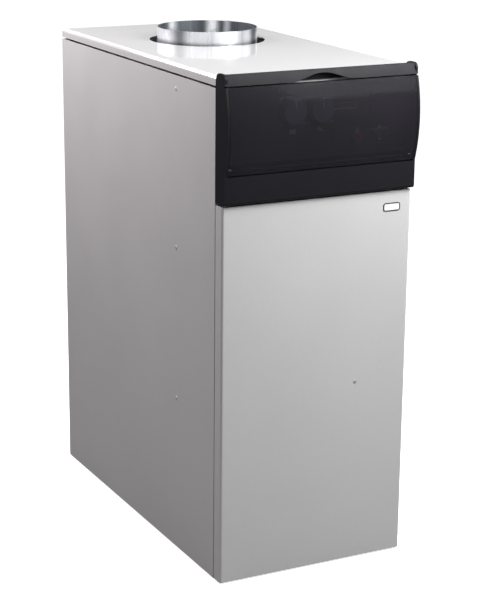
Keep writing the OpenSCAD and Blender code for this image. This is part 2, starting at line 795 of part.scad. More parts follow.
module burner_front_plate() placed() color("#a5a7a6") {
  y1 = chamber_y0 - 0.2;
  difference() {
    round_plate(-118, 118, y1 - 2, y1, chamber_z0 + 8, chamber_z0 + 190, 4);
    for (i = [1 : tube_count])
      bar_y((i - (tube_count + 1) / 2) * tube_pitch, y1 - 10, y1 + 10, manifold_z, 11.4);
    bar_y(sight_x, y1 - 10, y1 + 10, sight_z, 10);
    for (x = electrode_x) bar_y(x, y1 - 10, y1 + 10, electrode_z, 4.4);
  }
  for (x = [-108, 0, 108], z = [chamber_z0 + 16, chamber_z0 + 182])
    bar_y(x, y1 - 6, y1 - 2 + eps, z, 5, $fn = 6);
}

module sight_glass() placed() color("lightblue", 0.5) {
  y1 = chamber_y0 - 2.3;
  difference() {
    bar_y(sight_x, y1 - 5, y1, sight_z, 16);
    bar_y(sight_x, y1 - 7, y1 - 2, sight_z, 11);
  }
}

module gas_manifold() placed() color("#c9b458") {
  end = 112;
  bar_x(-end, end, manifold_y, manifold_z, 10);
  for (s = [0, 1]) mirror([s, 0, 0]) bar_x(end - eps, end + 6, manifold_y, manifold_z, 12, $fn = 6);
  // Branch down to the gas valve
  bar_z(valve_x, manifold_y, valve_top + 0.1, manifold_z, 9);
}

module injectors() placed() color("#b8963e")
  for (i = [1 : tube_count]) {
    x = (i - (tube_count + 1) / 2) * tube_pitch;
    difference() {
      union() {
        bar_y(x, manifold_y + 9.5, manifold_y + 14, manifold_z, 6.5, $fn = 6);
        bar_y(x, manifold_y + 14 - eps, manifold_y + 18, manifold_z, 3.5);
      }
      bar_y(x, manifold_y + 15, manifold_y + 20, manifold_z, 1.2);
      bar_x(-burner_half, burner_half, manifold_y, manifold_z, 10.05);
    }
  }

module electrodes() placed() color("ivory") {
  y1 = chamber_y0 - 0.2;
  for (x = electrode_x) {
    bar_y(x, y1 - 34, y1 + 18, electrode_z, 4);
    bar_y(x, y1 - 8, y1 - 2.2, electrode_z, 7);
    bar_y(x, y1 + 18 - eps, y1 + 48, electrode_z, 1.2);
  }
}

module gas_valve() placed() color("#b4b6b8") {
  block([valve_x - 32, 62, 52], [valve_x + 32, 118, valve_top]);
  // Two coils and the adjuster cap on the front
  for (x = [-16, 16]) bar_y(valve_x + x, 36, 62 + eps, 76, 12);
  bar_y(valve_x, 50, 62 + eps, 60, 5);
  // Inlet flange on the left
  bar_x(valve_x - 40, valve_x - 32 + eps, manifold_y, 72, 15);
}

module gas_pipe() placed() color("#c8a03c") {
  front = [[valve_x - 40.1, manifold_y, gas_z], [-gas_x, manifold_y, gas_z], [-gas_x, cock_y - 31, gas_z]];
  rear = [[-gas_x, cock_y + 31, gas_z], [-gas_x, case_d + stub_l, gas_z]];
  difference() {
    union() {
      run(front, gas_r, gas_bend);
      run(rear, gas_r, gas_bend);
      for (y = [260, 480]) bar_y(-gas_x, y, y + 10, gas_z, gas_r + 3.5);
    }
    run(front, gas_r - gas_wall, gas_bend, 1);
    run(rear, gas_r - gas_wall, gas_bend, 1);
  }
}

module gas_cock() placed() color("#c2a144") {
  // A ball valve in the gas pipe with its stem to the left of the front
  difference() {
    union() {
      bar_y(-gas_x, cock_y - 30.9, cock_y + 30.9, gas_z, 12.5, $fn = 8);
      bar_y(-gas_x, cock_y - 17, cock_y + 17, gas_z, 14);
      bar_z(-gas_x, cock_y, gas_z, gas_z + 24, 6);
    }
    bar_y(-gas_x, cock_y - 32, cock_y + 32, gas_z, 7);
  }
}

// Butterfly handle in line with the pipe when the cock is open
module gas_cock_lever() placed() color("#d8b400") {
  z = gas_z + 24.3;
  wing = 12;
  bar_z(-gas_x, cock_y, z, z + 7, 6.5);
  for (s = [-1, 1]) {
    block([-gas_x - 2.5, cock_y + min(0, s * wing), z], [-gas_x + 2.5, cock_y + max(0, s * wing), z + 11]);
    bar_z(-gas_x, cock_y + s * wing, z, z + 11, 2.5);
  }
}

// ---- Water side ----

module pump_housing() placed() color("#7c1f1f") {
  difference() {
    union() {
      bar_y(pump_x, pump_y - 8, pump_y + 24, pump_z, 38);
      bar_y(pump_x, pump_y - 50, pump_y - 8 + eps, pump_z, 34);
      bar_y(pump_x, pump_y - 52, pump_y - 50 + eps, pump_z, 10);
      bar_z(pump_x, pump_y + 8, pump_z - 55, pump_z + 55, 16);
    }
    // Rotor chamber and the water ways
    bar_y(pump_x, pump_y - 44, pump_y + 16, pump_z, 22);
    bar_y(pump_x, pump_y - 4, pump_y + 16, pump_z, 30);
    bar_z(pump_x, pump_y + 8, pump_z - 56, pump_z + 56, 10);
  }
}

module pump_rotor() placed() color("silver") {
  bar_y(pump_x, pump_y - 43, pump_y + 12, pump_z, 4);
  bar_y(pump_x, pump_y - 38, pump_y - 10, pump_z, 19);
  difference() {
    bar_y(pump_x, pump_y - 2, pump_y + 14, pump_z, 27);
    for (i = [0 : 5])
      translate([pump_x, 0, pump_z]) rotate([0, 60 * i, 0]) block([8, pump_y + 1, -3], [28, pump_y + 11, 3]);
  }
}

module expansion_vessel() placed() color("#9e2b25") {
  z = 455;
  r = 132;
  y0 = 583;
  y1 = 664;
  bead = 4;
  wall = 1.6;
  difference() {
    union() {
      bar_y(0, y0, y1, z, r - bead);
      bar_y(0, (y0 + y1) / 2 - 6, (y0 + y1) / 2 + 6, z, r);
      bar_y(0, y0 - 5, y0 + eps, z + 60, 8);
    }
    bar_y(0, y0 + wall, y1 - wall, z, r - bead - wall);
    bar_y(0, y0 - 6, y0 + wall + 1, z + 60, 4);
  }
  block([-60, y1 - eps, z - 12], [60, y1 + 4, z + 12]);
}

// Flow pipe: out of the top water way, to the right, and back to the rear of the casing
module flow_pipe() placed() color("#b87333") {
  path = [[0, block_y0 - 4, hub_z1], [0, branch_y, hub_z1], [pipe_x, branch_y, hub_z1],
          [pipe_x, case_d + stub_l, flow_z]];
  difference() {
    union() {
      run(path, pipe_r, water_bend);
      bar_y(0, block_y0 - 28, block_y0 - 12.2, hub_z1, nut_r, $fn = 6);
      bar_y(pipe_x, case_d + 6, case_d + stub_l, flow_z, water_r);
    }
    run(path, pipe_r - pipe_wall, water_bend, 1);
  }
}

// Return pipe: from the rear along the right side to the pump, then up to the lower water way
module return_pipe() placed() color("#b87333") {
  y = pump_y + 8;
  turn_z = 154;
  intake = [[pipe_x, case_d + stub_l, return_z], [pipe_x, y, return_z], [pipe_x, y, turn_z],
            [pump_x, y, turn_z], [pump_x, y, pump_z - 55.1]];
  outlet = [[pump_x, y, pump_z + 55.1], [pump_x, y, hub_z0], [0, y, hub_z0], [0, block_y0 - 4, hub_z0]];
  outlet_bend = 14;
  difference() {
    union() {
      run(intake, pipe_r, water_bend);
      run(outlet, pipe_r, outlet_bend);
      for (z = [pump_z - 71, pump_z + 55.1]) bar_z(pump_x, y, z, z + 15.9, nut_r, $fn = 6);
      bar_y(pipe_x, case_d + 6, case_d + stub_l, return_z, water_r);
    }
    run(intake, pipe_r - pipe_wall, water_bend, 1);
    run(outlet, pipe_r - pipe_wall, outlet_bend, 1);
  }
}

// Safety valve on the flow pipe, with its outlet to the side
module safety_valve() placed() color("#c2a144") {
  z = hub_z1 - water_r;
  x = safety_x;
  difference() {
    union() {
      bar_z(x, branch_y, z - 34, z + 2, 11);
      bar_z(x, branch_y, z - 30, z - 18, 15, $fn = 6);
      bar_x(x, x + 28, branch_y, z - 24, 8);
    }
    bar_x(-10, pipe_x, branch_y, hub_z1, water_r - 0.15);
  }
}

module safety_valve_knob() placed() color("#b5261e") {
  z = hub_z1 - water_r - 34.3;
  difference() {
    bar_z(safety_x, branch_y, z - 22, z, 15);
    for (i = [0 : 7])
      translate([safety_x, branch_y, 0]) rotate([0, 0, 45 * i]) bar_z(17, 0, z - 30, z + 1, 3.4);
  }
}

module pressure_gauge() placed() color("#2a2a2c") {
  z = hub_z1 - water_r;
  difference() {
    union() {
      bar_z(gauge_x, branch_y, z - 22, z + 2, 6);
      bar_y(gauge_x, 36, 70, z - 46, 26);
    }
    bar_y(gauge_x, 35, 41, z - 46, 23.5);
    bar_x(-10, pipe_x, branch_y, hub_z1, water_r - 0.15);
  }
}

module gauge_needle() placed() color("red") {
  z = hub_z1 - water_r - 46;
  bar_y(gauge_x, 38.2, 40.8, z, 2.4);
  translate([gauge_x, 0, z]) rotate([0, -135, 0]) block([-0.7, 38.6, 0], [0.7, 39.8, 19]);
}

// Drain cock at the lowest point of the return pipe
module drain_cock() placed() color("#c2a144") {
  z = return_z - water_r;
  y = 200;
  difference() {
    union() {
      bar_z(pipe_x, y, z - 22, z + 2, 9);
      bar_y(pipe_x, y - 26, y, z - 14, 6);
      bar_y(pipe_x, y - 28, y - 24, z - 14, 7.5);
      bar_x(pipe_x - 15, pipe_x, y, z - 14, 4, $fn = 4);
    }
    bar_y(pipe_x, y - 40, y + 40, return_z, water_r - 0.15);
    bar_y(pipe_x, y - 30, y - 10, z - 14, 3.5);
  }
}

base_frame();
left_side_panel();
right_side_panel();
back_panel();
top_panel();
front_panel();
front_panel_fixings();
badge_plate();
casing_screws();
front_crossbar();
insulation_pads();
fascia_frame();
dashboard();
flap_door();
flap_hinge_pins();
heating_knob();
hot_water_knob();
power_switch();
reset_button();
indicator_lights();
timer_blank_cover();
control_box();
circuit_board();
cable_glands();
front_section();
middle_section_1();
middle_section_2();
middle_section_3();
rear_section();
section_nipples();
tie_rods();
combustion_chamber();
draught_hood();
hood_neck();
flue_collar();
draught_thermostat();
burner_tube_1();
burner_tube_2();
burner_tube_3();
burner_tube_4();
burner_front_plate();
sight_glass();
gas_manifold();
injectors();
electrodes();
gas_valve();
gas_pipe();
gas_cock();
gas_cock_lever();
pump_housing();
pump_rotor();
expansion_vessel();
flow_pipe();
return_pipe();
safety_valve();
safety_valve_knob();
pressure_gauge();
gauge_needle();
drain_cock();
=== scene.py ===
"""Looks of a floor-standing gas boiler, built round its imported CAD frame.

Blender works in metres. Shapes made here are drawn in millimetres, with y measured backwards
from the face of the front panel, and are turned into the frame's metres when they are finished.
"""
import json
import math

import bmesh
import bpy
from mathutils import Matrix, Vector, noise


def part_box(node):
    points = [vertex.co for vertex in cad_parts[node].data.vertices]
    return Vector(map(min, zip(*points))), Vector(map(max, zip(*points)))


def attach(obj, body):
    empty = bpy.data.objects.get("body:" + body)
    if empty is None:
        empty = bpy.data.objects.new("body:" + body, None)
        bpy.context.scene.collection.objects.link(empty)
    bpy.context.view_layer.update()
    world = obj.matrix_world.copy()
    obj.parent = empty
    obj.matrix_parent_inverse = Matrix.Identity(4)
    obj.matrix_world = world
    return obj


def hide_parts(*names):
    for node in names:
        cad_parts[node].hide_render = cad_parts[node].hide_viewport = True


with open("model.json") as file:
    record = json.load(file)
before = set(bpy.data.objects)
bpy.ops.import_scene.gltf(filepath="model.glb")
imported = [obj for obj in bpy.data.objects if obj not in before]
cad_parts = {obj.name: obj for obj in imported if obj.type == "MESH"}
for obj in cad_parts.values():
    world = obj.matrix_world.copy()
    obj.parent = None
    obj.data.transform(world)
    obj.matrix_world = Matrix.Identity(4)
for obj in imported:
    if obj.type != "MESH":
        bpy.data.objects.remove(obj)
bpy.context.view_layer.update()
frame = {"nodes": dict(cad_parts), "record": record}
nodes = frame["nodes"]
scene = bpy.context.scene

MM = 0.001
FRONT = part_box("front_panel")[0].y / MM


def box_mm(node):
    """The low and high corners of a CAD node in millimetres, y measured from the front panel's face."""
    back = Vector((0, FRONT, 0))
    return tuple(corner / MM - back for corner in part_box(node))


# ---------------------------------------------------------------- node materials

NOISE_LOW, NOISE_HIGH = 0.3, 0.7
NOISE_ROUGHNESS = 0.55


class Surface:
    """A procedural material, with its patterns laid out in the object's own metres."""

    def __init__(self, name, color, rough=0.5, metallic=0.0, **sockets):
        self.mat = bpy.data.materials.new(name)
        self.mat.use_nodes = True
        self.tree = self.mat.node_tree
        self.bsdf = self.tree.nodes["Principled BSDF"]
        self.color = (*color, 1.0)
        self.rough = rough
        self.set("Base Color", self.color)
        self.set("Roughness", rough)
        self.set("Metallic", metallic)
        for key, value in sockets.items():
            self.set(key.replace("_", " ").title().replace("Ior", "IOR"), value)
        self.normal = None
        self.base = None
        self.gloss = None
        self.place = self.node("ShaderNodeTexCoord").outputs["Object"]

    def set(self, socket, value):
        self.bsdf.inputs[socket].default_value = value

    def node(self, kind, **attributes):
        made = self.tree.nodes.new(kind)
        for key, value in attributes.items():
            setattr(made, key, value)
        return made

    def put(self, value, socket):
        if isinstance(value, bpy.types.NodeSocket):
            self.tree.links.new(value, socket)
        else:
            socket.default_value = value

    def stretched(self, stretch):
        mapping = self.node("ShaderNodeMapping")
        self.put(self.place, mapping.inputs["Vector"])
        mapping.inputs["Scale"].default_value = stretch
        return mapping.outputs["Vector"]

    def noise(self, scale, detail=4.0, stretch=None):
        made = self.node("ShaderNodeTexNoise")
        self.put(self.stretched(stretch) if stretch else self.place, made.inputs["Vector"])
        made.inputs["Scale"].default_value = scale
        made.inputs["Detail"].default_value = detail
        made.inputs["Roughness"].default_value = NOISE_ROUGHNESS
        return made.outputs["Fac"]

    def line_noise(self, value, scale, detail=3.0):
        """Noise along one number, such as an angle."""
        made = self.node("ShaderNodeTexNoise", noise_dimensions="1D")
        self.put(value, made.inputs["W"])
        made.inputs["Scale"].default_value = scale
        made.inputs["Detail"].default_value = detail
        return made.outputs["Fac"]

    def cells(self, scale, feature="F1", stretch=None):
        made = self.node("ShaderNodeTexVoronoi", feature=feature)
        self.put(self.stretched(stretch) if stretch else self.place, made.inputs["Vector"])
        made.inputs["Scale"].default_value = scale
        return made.outputs["Distance"]

    def axis(self, letter):
        split = self.node("ShaderNodeSeparateXYZ")
        self.put(self.place, split.inputs["Vector"])
        return split.outputs[letter]

    def span(self, value, low, high, to_low=0.0, to_high=1.0, smooth=False):
        made = self.node("ShaderNodeMapRange", clamp=True)
        if smooth:
            made.interpolation_type = "SMOOTHSTEP"
        self.put(value, made.inputs["Value"])
        limits = {"From Min": low, "From Max": high, "To Min": to_low, "To Max": to_high}
        for key, number in limits.items():
            made.inputs[key].default_value = number
        return made.outputs["Result"]

    def math(self, operation, a, b=0.0):
        made = self.node("ShaderNodeMath", operation=operation)
        self.put(a, made.inputs[0])
        self.put(b, made.inputs[1])
        return made.outputs[0]

    def times(self, a, b):
        return self.math("MULTIPLY", a, b)

    def around(self, x, y):
        """The angle in degrees, and the distance, of a point about an upright axis at x, y."""
        east = self.math("SUBTRACT", self.axis("X"), x)
        north = self.math("SUBTRACT", self.axis("Y"), y)
        angle = self.times(self.math("ARCTAN2", north, east), 180 / math.pi)
        square = self.math("ADD", self.times(east, east), self.times(north, north))
        return angle, self.math("SQRT", square)

    def band(self, angle, middle, half, soft):
        """1 inside half a width of the middle angle, with soft edges."""
        off = self.math("ABSOLUTE", self.math("SUBTRACT", angle, middle))
        return self.span(off, half + soft, max(0.0, half - soft), smooth=True)

    def tint(self, amount, color):
        """Blends the base colour towards color by amount, a number or a mask."""
        made = self.node("ShaderNodeMix", data_type="RGBA")
        self.put(amount, made.inputs["Factor"])
        self.put(self.base if self.base else self.color, made.inputs["A"])
        self.put((*color, 1.0), made.inputs["B"])
        self.base = made.outputs["Result"]
        return self

    def shade(self, mask, low, high, start=NOISE_LOW, end=NOISE_HIGH):
        """Multiplies the base colour by a grey that runs from low to high over the mask."""
        made = self.node("ShaderNodeMix", data_type="RGBA", blend_type="MULTIPLY")
        made.inputs["Factor"].default_value = 1.0
        self.put(self.base if self.base else self.color, made.inputs["A"])
        grey = self.node("ShaderNodeCombineColor")
        level = self.span(mask, start, end, low, high)
        for channel in ("Red", "Green", "Blue"):
            self.put(level, grey.inputs[channel])
        self.put(grey.outputs["Color"], made.inputs["B"])
        self.base = made.outputs["Result"]
        return self

    def polish(self, mask, low, high):
        """Adds low to high to the roughness over the mask."""
        added = self.span(mask, NOISE_LOW, NOISE_HIGH, low, high)
        self.gloss = self.math("ADD", self.gloss if self.gloss else self.rough, added)
        return self

    def bump(self, height, depth, strength=1.0):
        """Raises the surface by depth metres where height is 1."""
        made = self.node("ShaderNodeBump")
        made.inputs["Strength"].default_value = strength
        made.inputs["Distance"].default_value = depth
        self.put(height, made.inputs["Height"])
        if self.normal:
            self.put(self.normal, made.inputs["Normal"])
        self.normal = made.outputs["Normal"]
        return self

    def wear(self, color, amount):
        """Rubs the colour through along the edges, broken up by a noise."""
        edge_radius = 0.0008
        round_normal = self.node("ShaderNodeBevel", samples=4)
        round_normal.inputs["Radius"].default_value = edge_radius
        flat = self.node("ShaderNodeNewGeometry").outputs["Normal"]
        dot = self.node("ShaderNodeVectorMath", operation="DOT_PRODUCT")
        self.put(round_normal.outputs["Normal"], dot.inputs[0])
        self.put(flat, dot.inputs[1])
        flat_face, sharp_edge = 0.98, 0.75
        edge = self.span(dot.outputs["Value"], flat_face, sharp_edge, 0.0, amount)
        patchy = self.span(self.noise(140.0, 5.0), 0.42, 0.62)
        return self.tint(self.times(edge, patchy), color)

    def done(self):
        """Joins what was built up to the shader and gives the material."""
        if self.base:
            self.put(self.base, self.bsdf.inputs["Base Color"])
        if self.gloss:
            self.put(self.gloss, self.bsdf.inputs["Roughness"])
        if self.normal:
            self.put(self.normal, self.bsdf.inputs["Normal"])
        return self.mat


def painted(name, color, rough=0.35, peel=0.00002, coat=0.0):
    """Stoved paint on sheet: faint orange peel, dusty mottling and edges rubbed pale."""
    made = Surface(name, color, rough, coat_weight=coat, coat_roughness=0.05)
    made.shade(made.noise(7.0, 5.0), 0.985, 1.01)
    made.shade(made.noise(300.0, 2.0), 0.99, 1.01)
    made.polish(made.noise(18.0, 4.0), -0.02, 0.03)
    made.bump(made.noise(420.0, 2.0), peel)
    return made.wear((0.35, 0.34, 0.33), amount=0.35).done()


def silver_paint(name, color, rough, metallic):
    """Satin silver paint: a metallic grain, faint upright brushing and hand marks."""
    made = Surface(name, color, rough, metallic)
    made.shade(made.noise(520.0, 3.0, (1.0, 1.0, 0.12)), 0.985, 1.015)
    made.shade(made.noise(1500.0, 2.0), 0.97, 1.03)
    made.shade(made.noise(4.0, 4.0), 0.985, 1.015)
    made.polish(made.noise(9.0, 5.0), -0.03, 0.04)
    made.bump(made.noise(900.0, 2.0, (1.0, 1.0, 0.3)), 0.000006)
    return made.wear((0.75, 0.75, 0.76), amount=0.25).done()


def glossy_top():
    """Glossy white paint on the top panel, with painted shade that greys it where it turns over the edge
    into the skirt.
    """
    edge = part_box("top_panel")[1].z
    fold_starts, fold_ends = edge - 0.0004, edge - 0.0022
    made = Surface("top_white", (0.68, 0.682, 0.685), 0.12, coat_weight=1.0, coat_roughness=0.05)
    # Painted shade: the turned-over edge and the skirt are tinted grey by height
    made.tint(made.span(made.axis("Z"), fold_starts, fold_ends, smooth=True), (0.50, 0.497, 0.499))
    made.shade(made.noise(7.0, 5.0), 0.985, 1.01)
    made.polish(made.noise(18.0, 4.0), -0.02, 0.03)
    made.bump(made.noise(420.0, 2.0), 0.000003)
    return made.wear((0.6, 0.6, 0.6), amount=0.3).done()


def brushed(name, color, rough, streak, anisotropy=0.4, stain=None, metallic=1.0):
    """Bare sheet: fine streaks along one axis, and an optional heat stain."""
    made = Surface(name, color, rough, metallic, anisotropic=anisotropy)
    made.shade(made.noise(260.0, 5.0, streak), 0.88, 1.10)
    made.shade(made.noise(6.0, 4.0), 0.93, 1.05)
    if stain:
        made.tint(made.span(made.noise(9.0, 3.0), 0.5, 0.7, 0.0, 0.6), stain)
    made.polish(made.noise(200.0, 4.0, streak), -0.06, 0.10)
    made.bump(made.noise(420.0, 4.0, streak), 0.00001)
    return made.wear((0.85, 0.85, 0.85), amount=0.3).done()


def spangled(name, color):
    """Galvanised sheet with its crystals and a white bloom."""
    made = Surface(name, color, 0.42, 0.9)
    made.shade(made.cells(170.0), 0.95, 1.03, 0.1, 0.6)
    made.shade(made.noise(60.0, 6.0, (1.0, 1.0, 0.6)), 0.93, 1.05)
    made.shade(made.noise(5.0, 5.0), 0.94, 1.05)
    made.polish(made.cells(170.0), -0.05, 0.08)
    made.bump(made.noise(90.0, 3.0), 0.00003)
    return made.wear((0.8, 0.8, 0.8), amount=0.3).done()


def cast(name, color, grain, rough, metallic=0.0, rust=None):
    """Sand or die casting: pitted skin, darker in its hollows."""
    made = Surface(name, color, rough, metallic)
    made.shade(made.noise(grain, 6.0), 0.72, 1.22)
    made.shade(made.noise(11.0, 4.0), 0.88, 1.08)
    if rust:
        made.tint(made.span(made.noise(26.0, 6.0), 0.56, 0.7, 0.0, 0.55), rust)
    made.polish(made.noise(grain * 0.5, 4.0), -0.08, 0.08)
    made.bump(made.noise(grain, 6.0), 0.00025)
    made.bump(made.cells(grain * 1.6), 0.00008)
    return made.wear((0.4, 0.4, 0.4), amount=0.35).done()


def moulded(name, color, rough, grain=0.00002, scale=1500.0, coat=0.0, **sockets):
    """Moulded plastic with a fine spark texture and rubbed edges."""
    made = Surface(name, color, rough, coat_weight=coat, coat_roughness=0.06, **sockets)
    made.shade(made.noise(9.0, 4.0), 0.95, 1.05)
    made.polish(made.noise(40.0, 4.0), -0.03, 0.05)
    made.bump(made.cells(scale), grain)
    pale = tuple(min(1.0, 0.02 + 1.5 * c) for c in color)
    return made.wear(pale, amount=0.5).done()


def drawn(name, color, rough, tarnish):
    """Drawn or turned metal: streaks, and tarnish in patches."""
    along = (1.0, 0.05, 1.0)
    made = Surface(name, color, rough, 1.0)
    made.tint(made.span(made.noise(24.0, 5.0), 0.45, 0.68, 0.0, 0.7), tarnish)
    made.shade(made.noise(180.0, 4.0, along), 0.90, 1.08)
    made.polish(made.noise(30.0, 5.0), -0.06, 0.12)
    made.bump(made.noise(240.0, 3.0, along), 0.00002)
    return made.done()


def ink(name, color):
    """Pad-printed ink, a little uneven in cover."""
    made = Surface(name, color, 0.5)
    made.shade(made.noise(600.0, 3.0), 0.88, 1.05)
    made.shade(made.noise(60.0, 3.0), 0.93, 1.03)
    return made.bump(made.noise(1800.0, 2.0), 0.000004).done()


def polished_collar():
    """Rolled polished steel, with painted reflections: soft upright light and dark bands painted round it
    at fixed angles, painted shade inside it, and upright streaks that are partly rolling marks and partly
    painted reflection.
    """
    low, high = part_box("flue_collar")
    middle = (low + high) / 2
    bore, outer_face = 0.0887, 0.0892
    made = Surface("flue_steel", (0.78, 0.80, 0.84), 0.30, 0.85)
    angle, reach = made.around(middle.x, middle.y)
    outside = made.span(reach, bore, outer_face)
    inside = made.math("SUBTRACT", 1.0, outside)
    # Each painted reflection band is its middle, half width and soft edge in degrees, and its strength
    painted_dark_bands = [
        (-49, 8, 6, 0.88),
        (-75, 5, 9, 0.35),
        (-149, 5, 10, 0.75),
        (-112, 2, 5, 0.12),
        (20, 12, 12, 0.4),
    ]
    painted_light_patches = [
        (110, 6, 8, 0.7),
        (58, 6, 6, 1.0),
        (40, 3, 5, 0.6),
        (-60, 6, 8, 0.8),
        (-140, 5, 8, 0.7),
    ]
    # Painted reflections: dark bands painted on the outside of the collar
    for degrees, half, soft, depth in painted_dark_bands:
        patch = made.times(made.band(angle, degrees, half, soft), outside)
        made.tint(made.times(patch, depth), (0.05, 0.055, 0.07))
    # Painted shade: the inside of the collar is tinted dark
    made.tint(made.times(inside, 0.96), (0.15, 0.17, 0.19))
    painted_light_mask = None
    # Painted reflections: pale patches painted inside the collar, clouded by a noise
    for degrees, half, soft, depth in painted_light_patches:
        cloudy = made.span(made.noise(40.0, 3.0), 0.3, 0.6, 0.5, 1.0)
        patch = made.times(made.band(angle, degrees, half, soft), cloudy)
        patch = made.times(made.times(patch, inside), depth)
        made.tint(patch, (0.97, 0.98, 1.0))
        painted_light_mask = made.math("MAXIMUM", painted_light_mask, patch) if painted_light_mask else patch
    # The painted reflection patches lose their metal, so they show as pale lit paint
    made.put(made.span(painted_light_mask, 0.0, 1.0, 0.85, 0.1), made.bsdf.inputs["Metallic"])
    # Upright streaks by angle, partly rolling marks and partly painted reflection
    made.shade(made.line_noise(angle, 0.14, 3.0), 0.94, 1.03)
    made.polish(made.line_noise(angle, 0.5, 2.0), -0.03, 0.05)
    made.bump(made.noise(30.0, 2.0), 0.000006)
    made.bump(made.noise(1200.0, 2.0), 0.0000004)
    return made.wear((0.9, 0.9, 0.92), amount=0.5).done()


def smoked_flap():
    """Smoked plastic, clear enough to show the dials behind it faintly."""
    color = (0.0165, 0.0155, 0.0195)
    made = Surface("smoked_plastic", color, 0.13, alpha=0.58, specular_ior_level=0.10)
    made.shade(made.noise(9.0, 4.0), 0.9, 1.1)
    made.polish(made.noise(30.0, 4.0), -0.02, 0.04)
    made.bump(made.noise(14.0, 2.0), 0.00002)
    return made.wear((0.03, 0.03, 0.035), amount=0.4).done()


def clear_glass():
    """Clear glass with a little brown haze in patches."""
    made = Surface("sight_glass", (0.85, 0.92, 0.95), 0.03, transmission_weight=0.9, ior=1.47)
    made.tint(made.span(made.noise(60.0, 4.0), 0.55, 0.75, 0.0, 0.4), (0.45, 0.40, 0.34))
    made.polish(made.noise(80.0, 4.0), 0.0, 0.12)
    return made.bump(made.noise(200.0, 2.0), 0.000005).done()


def foil_facing():
    """Aluminium foil glued to wool: crinkled, bright, dulled in patches."""
    made = Surface("mineral_wool", (0.78, 0.79, 0.80), 0.30, 0.95)
    made.shade(made.noise(30.0, 6.0), 0.86, 1.08)
    made.polish(made.noise(14.0, 5.0), -0.06, 0.14)
    made.bump(made.cells(70.0), 0.0008, 0.7)
    return made.bump(made.noise(320.0, 5.0), 0.0003, 0.6).done()


def soft_rubber():
    """Matt black rubber with a fine grain."""
    made = Surface("rubber_gland", (0.020, 0.020, 0.021), 0.7)
    made.shade(made.noise(40.0, 5.0), 0.8, 1.25)
    made.polish(made.noise(70.0, 4.0), -0.05, 0.06)
    return made.bump(made.noise(900.0, 3.0), 0.00004).done()


def fired_ceramic():
    """Cream ceramic with brown burn marks."""
    made = Surface("ceramic", (0.80, 0.78, 0.72), 0.55)
    made.shade(made.noise(90.0, 5.0), 0.93, 1.03)
    made.tint(made.span(made.noise(50.0, 4.0), 0.6, 0.75, 0.0, 0.35), (0.45, 0.38, 0.28))
    return made.bump(made.noise(700.0, 3.0), 0.00003).done()


def solder_mask():
    """Circuit board: green mask over faint tracks."""
    made = Surface("circuit_board", (0.02, 0.12, 0.05), 0.30, coat_weight=0.3)
    tracks = made.cells(160.0, "DISTANCE_TO_EDGE", (1.0, 0.2, 1.0))
    made.tint(made.span(tracks, 0.05, 0.02, 0.0, 0.5), (0.05, 0.22, 0.10))
    made.shade(made.noise(60.0, 4.0), 0.9, 1.1)
    return made.bump(tracks, 0.00003).done()


